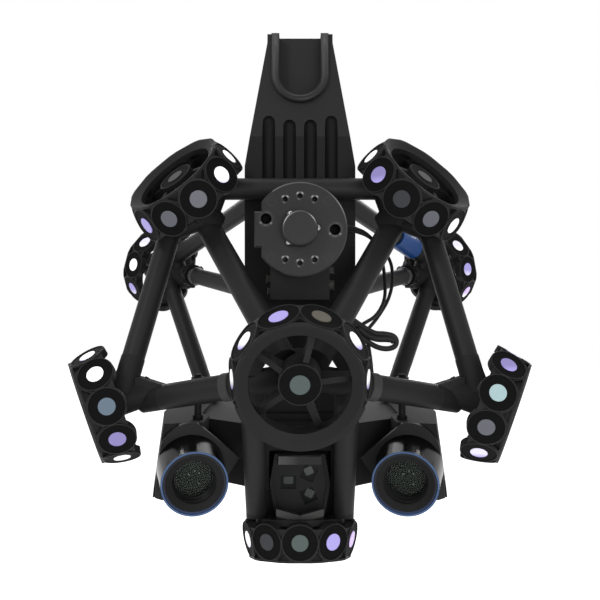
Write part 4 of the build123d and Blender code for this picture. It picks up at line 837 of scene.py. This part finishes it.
class SCANNER_OT_lenses(bpy.types.Operator):
    """Make the rings and curved elements seen inside each lens barrel."""
    bl_idname = "scanner.lenses"
    bl_label = "Lens details"

    def execute(self, context):
        places = pair(LENS_CENTRE, LENS_AXIS)
        origins, axes = frames_at(places)

        def ring(name, outline, finish, slot="lens_core", smooth=False):
            """A closed outline in millimetres, turned about the axis of either lens."""
            add_piece(name, lathe(np.array(outline) * MM, origins, axes, 72), finish, smooth)

        hood = grained("hood black", (0.0095, 0.0095, 0.0095), rough=(0.55, 0.68), specular=0.1)
        ring("lens_hoods", [(18.35, -0.62), (18.35, -0.45), (14.85, -3.0), (14.70, -3.2), (14.70, -3.4),
                            (14.9, -3.4)], hood)
        baffle = grained("baffle black", (0.0035, 0.0035, 0.004), rough=(0.4, 0.5), specular=0.12)
        ring("lens_baffles", [(14.78, -3.3), (14.78, -10.9), (12.6, -10.9), (12.6, -10.2), (13.6, -9.4),
                              (13.6, -8.8), (13.2, -8.4), (13.2, -7.8), (13.8, -7.2), (13.8, -6.6), (13.4, -6.2),
                              (13.4, -5.6), (14.2, -5.0), (14.2, -3.3)], baffle)
        # Painted highlight: the blue of the light ring's edge brightens towards its bottom
        gleam_rings("light_ring_edges", [(18.45, -0.62), (20.15, -0.62), (20.15, -0.1), (19.7, -0.42),
                                         (18.45, -0.5)],
                    places, [(270, 62, 1.0)], (0.008, 0.009, 0.012), (0.004, 0.016, 0.055),
                    tinted("guide edge painted highlight", rough=(0.35, 0.45), specular=0.15))
        rim = grained("guide rim", (0.006, 0.008, 0.014), rough=(0.3, 0.4), specular=0.12)
        ring("light_ring_rims", [(20.86, -0.8), (20.86, 0.0), (20.95, 0.06), (21.27, -0.1), (21.27, -1.6),
                                 (21.15, -1.6)], rim, "light_blue")

        # The element's front falls by the square of the radius over 90 mm
        radius = np.linspace(0, 9.6, 13)
        dome = np.column_stack((radius, -14.35 - radius ** 2 / 90))
        coating = grained("coated element", (0.012, 0.022, 0.015), rough=(0.16, 0.20), specular=0.06, bump=0.0,
                          variation=0.5)
        ring("lens_elements", np.vstack((dome, [(9.6, -15.9), (0, -15.9)])), coating, smooth=True)
        holder = grained("element holder", (0.016, 0.0155, 0.0140), rough=(0.35, 0.45), specular=0.08)
        ring("element_holders", [(9.7, -15.9), (11.5, -15.9), (11.5, -14.1), (10.1, -14.1), (9.7, -14.6)], holder)

        # Small domes that stand for the bright reflections of the front elements, a quarter ellipse turned
        spots = [(origin + np.array(offset) @ lens_axes * MM, lens_axes[2])
                 for origin, lens_axes in zip(origins, axes)
                 for offset in ((1.2, 3.4, -14.3), (-2.6, 1.2, -14.3), (4.0, 1.6, -14.4), (3.9, -5.4, -14.6))]
        gleam = grained("element gleam", (0.30, 0.32, 0.31), rough=(0.1, 0.2), specular=0.5)
        angle = np.linspace(0, np.pi / 2, 6)
        outline = np.vstack((np.column_stack((0.55 * np.sin(angle), 0.22 * np.cos(angle))), [(0.5, -0.1), (0, -0.1)]))
        add_piece("element_gleams", lathe(outline * MM, *frames_at(spots), 16), gleam)
        return {"FINISHED"}


class SCANNER_OT_coupling(bpy.types.Operator):
    """Make the edges of the plate's holes, the boss and the plate with painted highlights, black liners of painted
    shade in the guide bores, and the connectors beside the adapter.
    """
    bl_idname = "scanner.coupling"
    bl_label = "Coupling details"

    def execute(self, context):
        # Painted highlights: the tints of these edge rings and of the plate's chamfer brighten where a chamfer would
        # catch the lamps
        steel = tinted("painted edge highlight")
        angles = [math.radians(middle + TOOL_STEP * k) for middle in (90, 270) for k in (-1, 0, 1)]
        holes = [((TOOL_CIRCLE * math.cos(a), -0.00002, TOOL_CIRCLE * math.sin(a)), FORWARD) for a in angles]
        gleam_rings("hole_edges", [(1.66, -0.05), (2.75, -0.05), (2.75, 0.03), (1.66, 0.03)], holes,
                    [(50, 22, 1.0), (130, 22, 1.0), (250, 16, 0.35)], (0.012, 0.012, 0.012), (0.22, 0.22, 0.22),
                    steel, 32)
        bores = [(place, FORWARD) for place in GUIDE_BORES]
        gleam_rings("guide_edges", [(3.5, -0.05), (4.9, -0.05), (4.9, 0.03), (3.5, 0.03)], bores,
                    [(218, 8, 0.9), (318, 8, 1.0), (265, 26, 0.25), (75, 18, 0.12)], (0.016, 0.016, 0.016),
                    (0.12, 0.12, 0.12), steel)
        # Painted shade: near-black liners down the guide bores
        sleeve = np.array([(0, -8.8), (3.27, -8.8), (3.27, -1.2), (3.0, -1.0), (3.0, -8.2), (0, -8.2)]) * MM
        black = grained("bore painted shade", (0.0015, 0.0015, 0.0015), rough=(0.5, 0.6), specular=0.05)
        add_piece("bore_shade_sleeves", lathe(sleeve, *frames_at(bores), 40), black)

        low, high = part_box("lock_boss")
        nose = ((0.5 * (low[0] + high[0]), low[1], 0.5 * (low[2] + high[2])), FORWARD)
        size = 500 * (high[0] - low[0])
        gleam_rings("boss_edge", [(size - 1.25, 0.02), (size - 0.72, -0.7), (size - 0.62, -0.62), (size - 1.1, 0.06)],
                    [nose], [(142, 26, 1.0), (38, 17, 1.0)], (0.030, 0.030, 0.031), (0.30, 0.30, 0.30),
                    steel)

        # Chamfer of the plate, an outline of (radius, depth) points carried round its arc, with a painted highlight
        # that is brightest at 30 and 120 degrees
        low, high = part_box("coupling_plate")
        disc = 500 * (high[2] - low[2])
        middle = 500 * (high[2] + low[2])
        angle = np.linspace(-112, 126, 90)
        around = np.column_stack((np.cos(np.radians(angle)), np.zeros(90), np.sin(np.radians(angle))))
        outline = ((disc - 0.2, 0.95), (disc + 0.05, 0.80), (disc - 0.70, 0.05), (disc - 0.95, 0.20))
        stations = np.stack([around * radius + np.array((0, depth, middle)) for radius, depth in outline], axis=1)
        arc = make_mesh("plate_edge", lofted(stations * MM))
        share = 0.8 * np.exp(-((angle - 30) / 18) ** 2) + 0.35 * np.exp(-((angle - 120) / 14) ** 2)
        paint(arc, loft_values(0.03 + 0.16 * share, 4))
        dress(tidy(arc), steel)

        # Connectors: a rounded square plug with a sunk face, of each block's width, depth and height in millimetres
        plug = np.array([(0, 0), (1.0, 0), (1.0, 0.9), (0.93, 1.0), (0.78, 1.0), (0.74, 0.55), (0, 0.55)])
        blocks = (((-0.0190, 0.030, -0.0385), (-1, 0, 0), 2.4, 5.6, 2.6),
                  ((-0.0190, 0.042, -0.030), (-1, 0, 0), 3.0, 6.0, 4.0),
                  ((0.0190, 0.028, -0.0345), (1, 0, 0), 3.4, 5.2, 3.6),
                  ((0.0190, 0.042, -0.024), (1, 0, 0), 3.0, 6.0, 4.0))
        parts = [lathe(plug * (MM, tall * MM), *frames_at([(point, axis)]), 32, power=8.0, stretch=(deep, wide))
                 for point, axis, wide, deep, tall in blocks]
        shell = grained("connector shell", (0.012, 0.011, 0.0095), rough=(0.35, 0.5), specular=0.15, wear_and_highlight=3.5)
        add_piece("side_connectors", joined(parts), shell)
        return {"FINISHED"}


def screws(places, radius, height, name, finish):
    """Cap screws with a socket, one at each (point, axis) place.

    The head's outline runs up its side, over a small bevel to the socket's edge and down to the
    socket's floor; every point is turned about the axis.
    """
    bevel = 0.15 * radius
    head = [(0, -0.1 * height), (radius, -0.1 * height), (radius, height - bevel), (radius - bevel, height),
            (0.52 * radius, height), (0.5 * radius, 0.45 * height), (0, 0.45 * height)]
    add_piece(name, lathe(head, *frames_at(places), 24), finish)


class SCANNER_OT_clamps(bpy.types.Operator):
    """Make the collars of the side tubes, and the flares and clamps of the rear lower struts."""
    bl_idname = "scanner.clamps"
    bl_label = "Collars and clamps"

    def execute(self, context):
        # Pale collars where the side tubes meet the front node
        run = unit(SIDE_HEART - FRONT_HEART)
        span = sizes().collar_length
        outline = [(0.0081, 0), (0.0087, 0), (0.0090, 0.0004), (0.0090, span - 0.0004), (0.0087, span), (0.0081, span)]
        pale = grained("collar satin", (0.034, 0.034, 0.035), rough=(0.4, 0.55), specular=0.15, wear_and_highlight=1.6)
        surface = lathe(outline, *frames_at(pair(FRONT_HEART + run * 0.046, run)), 48)
        add_piece("tube_collars", surface, pale)

        # Clamps on the rear lower struts, with a flared collar towards the arm
        down = unit(STRUT_OUTER - STRUT_INNER)
        cone = np.array([(6.4, 0), (6.9, 0), (7.5, 1.4), (7.7, 1.8), (7.7, 3.4), (7.4, 3.8), (6.4, 3.8)]) * MM
        flare_grey = grained("flare satin", (0.022, 0.022, 0.023), rough=(0.3, 0.45), specular=0.3, wear_and_highlight=3.0)
        surface = lathe(cone, *frames_at(pair(STRUT_OUTER - down * 0.034, down)), 40)
        add_piece("strut_flares", surface, flare_grey)
        clamp = STRUT_OUTER - down * 0.026
        band = np.array([(6.4, 0), (8.8, 0), (9.2, 0.4), (9.2, 6.6), (8.8, 7.0), (6.4, 7.0)]) * MM
        clamp_black = grained("clamp black", (0.006, 0.006, 0.0065), rough=(0.45, 0.6), specular=0.12, wear_and_highlight=2.5)
        add_piece("strut_clamps", lathe(band, *frames_at(pair(clamp, down)), 40), clamp_black)
        side = unit(np.cross(down, (0, 0, 1)))
        rise = np.cross(side, down)
        bolts = []
        for turn in range(35, 360, 60):
            out = side * math.cos(math.radians(turn)) + rise * math.sin(math.radians(turn))
            bolts += pair(clamp + down * 0.0035 + out * 0.0090, out)
        screws(bolts, 2.2 * MM, 1.9 * MM, "clamp_bolts", clamp_black)
        return {"FINISHED"}


class SCANNER_OT_knees(bpy.types.Operator):
    """Make the sockets of the leg tubes in the side nodes, and the webs below them."""
    bl_idname = "scanner.knees"
    bl_label = "Leg sockets and webs"

    def execute(self, context):
        leg = unit(LEG_FOOT - LEG_TOP)
        cuff = np.array([(7.52, -10.0), (7.7, -10.0), (7.85, -9.6), (8.0, 0), (8.4, 6.0), (8.4, 15.0), (7.0, 17.0),
                         (0, 17.0), (0, 2.0), (7.52, 2.0)]) * MM
        socket = grained("socket satin black", [v * 1.3 for v in colours().ring], rough=(0.55, 0.68), specular=0.12)
        add_piece("leg_sockets", lathe(cuff, *frames_at(pair(LEG_FOOT, leg)), 48), socket)

        # Webs between the leg tubes and the side tubes: an outline of (x, z) points, a little smaller at both faces
        web = np.array([(-107.0, -94.4), (-104.0, -94.2), (-87.0, -99.6), (-85.0, -104.5), (-107.0, -106.0)])
        depths = np.array([13.0, 13.8, 23.2, 24.0])[:, None]
        shrink = np.array([0.94, 1.0, 1.0, 0.94])[:, None, None]
        outlines = web.mean(axis=0) + shrink * (web - web.mean(axis=0))
        depths = np.broadcast_to(depths, outlines.shape[:2])
        parts = [lofted(np.stack((side * outlines[..., 0], depths, outlines[..., 1]), axis=2) * MM) for side in (1, -1)]
        add_piece("knee_webs", joined(parts), socket)
        return {"FINISHED"}


class SCANNER_OT_guide(bpy.types.Operator):
    """Make the sleeved guide bow beside the front node, bent from rod, with the pad along it."""
    bl_idname = "scanner.guide"
    bl_label = "Guide bow"

    def execute(self, context):
        bow = np.array([(34, 14, -57), (42, 15, -62.4), (48.5, 15, -65.7), (55, 15, -66.3), (60.2, 15, -67.6),
                        (62.3, 15, -70.8), (61.0, 15, -74.4), (56.3, 15, -75.8), (50.5, 15, -74.9), (44, 15, -71.5),
                        (37, 14.5, -66.6), (30, 14, -62)]) * MM
        pad = np.array([(31, 14, -56.5), (36, 15, -60.5), (42.7, 15.5, -66.4), (49.2, 15.5, -69.1),
                        (55.6, 15.5, -69.4), (59.6, 15.3, -69.9), (61.2, 15, -71.4)]) * MM
        rod = swept(spline(bow, 110), 1.75 * MM)
        sleeve = grained("guide sleeve", (0.012, 0.012, 0.012), rough=(0.45, 0.6), specular=0.12)
        add_piece("guide_bow", joined([rod, swept(spline(pad, 50), 2.3 * MM)]), sleeve, True)
        return {"FINISHED"}


class SCANNER_OT_laser(bpy.types.Operator):
    """Make the panes in the laser's windows, the lips on the ledge below it and the brow above it, with a painted
    highlight on the brow's left half.
    """
    bl_idname = "scanner.laser"
    bl_label = "Laser details"

    def execute(self, context):
        # Panes in the upper parts of the windows: across, up, turn, width and height
        pane = np.array([(0, 0), (1.0, 0), (1.0, 0.8), (0.9, 1.0), (0, 1.0)]) * (MM, 0.5 * MM)
        windows = ((-7.7, -163.6, 0, 3.3, 2.6), (5.8, -157.4, 25, 3.0, 2.8), (6.3, -172.3, -25, 3.0, 2.8))
        parts = [lathe(pane, *frames_at([((across * MM, WINDOW_FACE, up * MM), FORWARD, turn)]), 32, power=6.0,
                       stretch=(width, height)) for across, up, turn, width, height in windows]
        glass = grained("pane coating", (0.020, 0.026, 0.023), rough=(0.12, 0.2), specular=0.2, variation=0.5)
        add_piece("laser_panes", joined(parts), glass)

        # Pale lips on the ledge: from the middle to either end the outline changes evenly
        middle = np.array([(11.4, -182.8), (9.7, -182.4), (9.7, -187.3), (11.4, -187.3)])
        end = np.array([(11.4, -178.5), (9.7, -178.1), (9.7, -182.6), (11.4, -182.6)])
        parts = []
        for low, high in ((-15.3, -0.15), (0.15, 15.3)):
            across = np.linspace(low, high, 9)
            share = np.abs(across / 15.3)[:, None, None]
            parts.append(across_middle(across, middle * (1 - share) + end * share))
        ledge = grained("ledge satin", (0.046, 0.046, 0.045), rough=(0.5, 0.62), specular=0.12)
        add_piece("ledge_lips", joined(parts), ledge)

        # Brow: a painted highlight pales its left half evenly towards its end
        front = 1000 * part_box("laser_housing")[0][1]
        across = np.linspace(-14.1, 14.1, 40)
        outline = [(front + 1.0, -146.6), (front - 0.15, -146.6), (front - 0.15, -151.9), (front + 1.0, -151.9)]
        brow = make_mesh("laser_brow", across_middle(across, outline))
        highlight_fade = np.clip(1 - (across + 14.1) / 13.5, 0, 1)
        paint(brow, loft_values(0.012 + np.where(across < -0.6, 0.060 * highlight_fade, 0.0), 4))
        dress(tidy(brow), tinted("brow painted highlight", rough=(0.4, 0.5), specular=0.12))
        return {"FINISHED"}


class SCANNER_OT_screws(bpy.types.Operator):
    """Make the screws of the arm's rear cover and of the pods' backs."""
    bl_idname = "scanner.screws"
    bl_label = "Rear screws"

    def execute(self, context):
        radius = sizes().screw_head
        steel = grained("dark screw", (0.030, 0.030, 0.032), rough=(0.25, 0.4), metallic=0.8, specular=0.5)
        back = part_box("arm_cover")[1][1]
        places = [(side * 0.034, back, level) for side in (-1, 1) for level in (-0.038, 0.0, 0.042)]
        places += [(side * 0.0175, back, 0.139) for side in (-1, 1)]
        screws([(place, BACKWARD) for place in places], radius, 1.6 * MM, "cover_screws", steel)
        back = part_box("sensor_pods")[1][1]
        places = [(side * x, back, z) for side in (-1, 1) for x in (0.076, 0.096) for z in (-0.131, -0.171)]
        screws([(place, BACKWARD) for place in places], radius, 1.6 * MM, "pod_screws", steel)
        return {"FINISHED"}


class SCANNER_OT_arm(bpy.types.Operator):
    """Make the round bead on the arm's slot rim, with painted shading that lightens it upwards, and the dark liners of
    painted shade in its flutes.
    """
    bl_idname = "scanner.arm_details"
    bl_label = "Arm details"

    def execute(self, context):
        # The bead follows a half circle and two straight runs, on the leaning face
        radius, centre, top = 17.6, 115.5, 145.6
        turn = np.linspace(np.pi, 2 * np.pi, 40)
        x = np.concatenate(([-radius, -radius], radius * np.cos(turn), [radius, radius]))
        z = np.concatenate(([top, 130.0], centre + radius * np.sin(turn), [130.0, top]))
        line = np.column_stack((x, ARM_FACE + (z - LEAN_START) * LEAN - 1.2, z)) * MM
        surface = swept(line, 2.75 * MM, 24)
        bead = make_mesh("slot_bead", surface, True)
        # Painted light and shade: the bead's tint is darkest at the bottom of the U and lightens upwards from 100 to
        # 122 mm
        rise = np.clip((surface[0][:, 2] / MM - 100.0) / 22.0, 0, 1)
        paint(bead, 0.010 + 0.026 * rise ** 1.5)
        dress(tidy(bead), tinted("bead painted shading", rough=(0.36, 0.46), specular=0.18))

        # Painted shade in the four flutes, as dark liners: at the height z the section is the part of a circle that
        # lies behind the arm's front face, and the circle shrinks to nothing at the flute's round end
        flute, end, wall = 4.54, 4.6, 0.12
        parts = []
        for across, top in ((-22.05, 86.5), (-7.35, 83.5), (7.35, 83.5), (22.05, 86.5)):
            z = np.concatenate((np.linspace(24, top - end, 24), np.linspace(top - end, top - 0.1, 14)[1:]))
            radius = np.sqrt(np.maximum(flute ** 2 - np.maximum(z - top + end, 0) ** 2, 0))
            face = np.maximum(z - LEAN_START, 0) * LEAN + 0.03
            keep = radius > face * 1.15
            z, radius, face = z[keep], radius[keep, None], face[keep, None]
            first = np.arcsin(np.clip(face / radius, 0, 1))
            swing = first + (np.pi - 2 * first) * np.linspace(0, 1, 15)
            levels = np.broadcast_to(z[:, None], swing.shape)
            outer, inner = (np.stack((across + reach * np.cos(swing), ARM_FACE + reach * np.sin(swing), levels), axis=2)
                            for reach in (radius, radius - wall))
            parts.append(lofted(np.concatenate((outer, inner[:, ::-1]), axis=1) * MM))
        shade = grained("flute painted shade", [v * 0.4 for v in colours().arm], rough=(0.5, 0.6), specular=0.08)
        add_piece("flute_shade_liners", joined(parts), shade, True)
        return {"FINISHED"}


class SCANNER_OT_rear(bpy.types.Operator):
    """Make the cooling slats of the arm's cover and the sockets in the body's back."""
    bl_idname = "scanner.rear"
    bl_label = "Rear details"

    def execute(self, context):
        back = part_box("arm_cover")[1][1]
        slat = np.array([(0, -0.4), (1.0, -0.4), (1.0, 0.5), (0.94, 1.2), (0, 1.2)]) * MM
        places = [((0, back, level), BACKWARD) for level in np.linspace(-0.020, 0.052, 10)]
        slats = grained("slat paint", colours().arm, rough=(0.5, 0.62), specular=0.22, wear_and_highlight=2.0)
        surface = lathe(slat, *frames_at(places), 40, power=7.0, stretch=(24.0, 1.6))
        add_piece("cooling_slats", surface, slats)

        # Sockets with six contact pins each, on a circle
        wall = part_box("body_shell_upper")[1][1]
        places = [(x, wall, -0.1405) for x in (-0.030, 0.0, 0.030)]
        flange = np.array([(0, -0.3), (9.0, -0.3), (9.0, 1.2), (8.6, 1.6), (7.2, 1.6), (7.2, 4.6), (6.8, 5.0),
                           (5.4, 5.0), (5.2, 2.0), (0, 2.0)]) * MM
        socket = grained("socket satin", (0.018, 0.018, 0.019), rough=(0.3, 0.42), metallic=0.4, specular=0.4,
                         wear_and_highlight=2.5)
        surface = lathe(flange, *frames_at([(place, BACKWARD) for place in places]), 40)
        add_piece("rear_sockets", surface, socket)
        circle = 3.2 * MM
        pins = [((x + circle * math.cos(a), y, z + circle * math.sin(a)), BACKWARD)
                for x, y, z in places for a in np.arange(6) * np.pi / 3]
        pin = np.array([(0, 1.9), (0.5, 1.9), (0.5, 3.8), (0.3, 4.1), (0, 4.1)]) * MM
        gilt = grained("contact pin", (0.35, 0.24, 0.08), rough=(0.2, 0.3), metallic=1.0, specular=0.5)
        add_piece("socket_pins", lathe(pin, *frames_at(pins), 12), gilt)
        return {"FINISHED"}


class SCANNER_OT_stage(bpy.types.Operator):
    """Set up the floor, the light and the camera."""
    bl_idname = "scanner.stage"
    bl_label = "Stage"

    def execute(self, context):
        scene = context.scene
        scene.view_settings.view_transform = "Standard"

        # Pale matt floor that gives off light of its own only towards the picture
        corners = [(x * FLOOR_REACH, y * FLOOR_REACH, FLOOR_LEVEL) for x, y in ((-1, -1), (1, -1), (1, 1), (-1, 1))]
        floor = make_mesh("floor", (corners, [(0, 1, 2, 3)]))
        material = bpy.data.materials.new("pale floor")
        material.use_nodes = True
        tree = material.node_tree
        tree.nodes.clear()
        out = tree.nodes.new("ShaderNodeOutputMaterial")
        matt = tree.nodes.new("ShaderNodeBsdfDiffuse")
        matt.inputs["Color"].default_value = (0.8, 0.8, 0.8, 1)
        glow = tree.nodes.new("ShaderNodeEmission")
        both = tree.nodes.new("ShaderNodeAddShader")
        link(tree, seen_background(tree, 0.0, 0.7), glow.inputs["Strength"])
        link(tree, matt.outputs[0], both.inputs[0])
        link(tree, glow.outputs[0], both.inputs[1])
        link(tree, both.outputs[0], out.inputs["Surface"])
        floor.data.materials.append(material)

        world = bpy.data.worlds.new("studio")
        scene.world = world
        world.use_nodes = True
        tree = world.node_tree
        tree.nodes.clear()
        out = tree.nodes.new("ShaderNodeOutputWorld")
        sky = tree.nodes.new("ShaderNodeBackground")
        sky.inputs["Color"].default_value = (1, 1, 1, 1)
        link(tree, seen_background(tree, 0.80, 1.0), sky.inputs["Strength"])
        link(tree, sky.outputs[0], out.inputs["Surface"])

        for name, place, size, power in LAMPS:
            lamp = bpy.data.lights.new(name, "AREA")
            lamp.size = size
            lamp.energy = power
            holder = bpy.data.objects.new(name, lamp)
            scene.collection.objects.link(holder)
            holder.location = place
            aim = Vector(LAMP_AIM) - Vector(place)
            holder.rotation_euler = aim.to_track_quat("-Z", "Y").to_euler()

        camera = bpy.data.cameras.new("camera")
        camera.lens = sizes().camera_lens
        camera.clip_start = 0.01
        eye = bpy.data.objects.new("camera", camera)
        scene.collection.objects.link(eye)
        eye.location = CAMERA_PLACE
        eye.rotation_euler = (math.radians(90), 0, 0)
        scene.camera = eye
        return {"FINISHED"}


class SCANNER_PT_panel(bpy.types.Panel):
    """Lists the scanner's operators."""
    bl_idname = "SCANNER_PT_panel"
    bl_label = "Scanner"
    bl_space_type = "VIEW_3D"
    bl_region_type = "UI"
    bl_category = "Scanner"

    def draw(self, context):
        for operator in OPERATORS:
            self.layout.operator(operator.bl_idname)


OPERATORS = (SCANNER_OT_finishes, SCANNER_OT_reflectors, SCANNER_OT_lenses, SCANNER_OT_coupling, SCANNER_OT_clamps,
             SCANNER_OT_knees, SCANNER_OT_guide, SCANNER_OT_laser, SCANNER_OT_screws, SCANNER_OT_arm, SCANNER_OT_rear,
             SCANNER_OT_stage)
CLASSES = (ScannerColours, ScannerSizes, *OPERATORS, SCANNER_PT_panel)


def register():
    """Register the classes, and hang the settings on the scene."""
    for cls in CLASSES:
        bpy.utils.register_class(cls)
    bpy.types.Scene.scanner_colours = bpy.props.PointerProperty(type=ScannerColours)
    bpy.types.Scene.scanner_sizes = bpy.props.PointerProperty(type=ScannerSizes)


def unregister():
    """Take the settings off the scene, and unregister the classes."""
    del bpy.types.Scene.scanner_sizes
    del bpy.types.Scene.scanner_colours
    for cls in reversed(CLASSES):
        bpy.utils.unregister_class(cls)


def main():
    """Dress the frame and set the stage."""
    register()
    bpy.ops.scanner.finishes()
    bpy.ops.scanner.reflectors()
    bpy.ops.scanner.lenses()
    bpy.ops.scanner.coupling()
    bpy.ops.scanner.clamps()
    bpy.ops.scanner.knees()
    bpy.ops.scanner.guide()
    bpy.ops.scanner.laser()
    bpy.ops.scanner.screws()
    bpy.ops.scanner.arm_details()
    bpy.ops.scanner.rear()
    bpy.ops.scanner.stage()


if __name__ == "__main__":
    main()
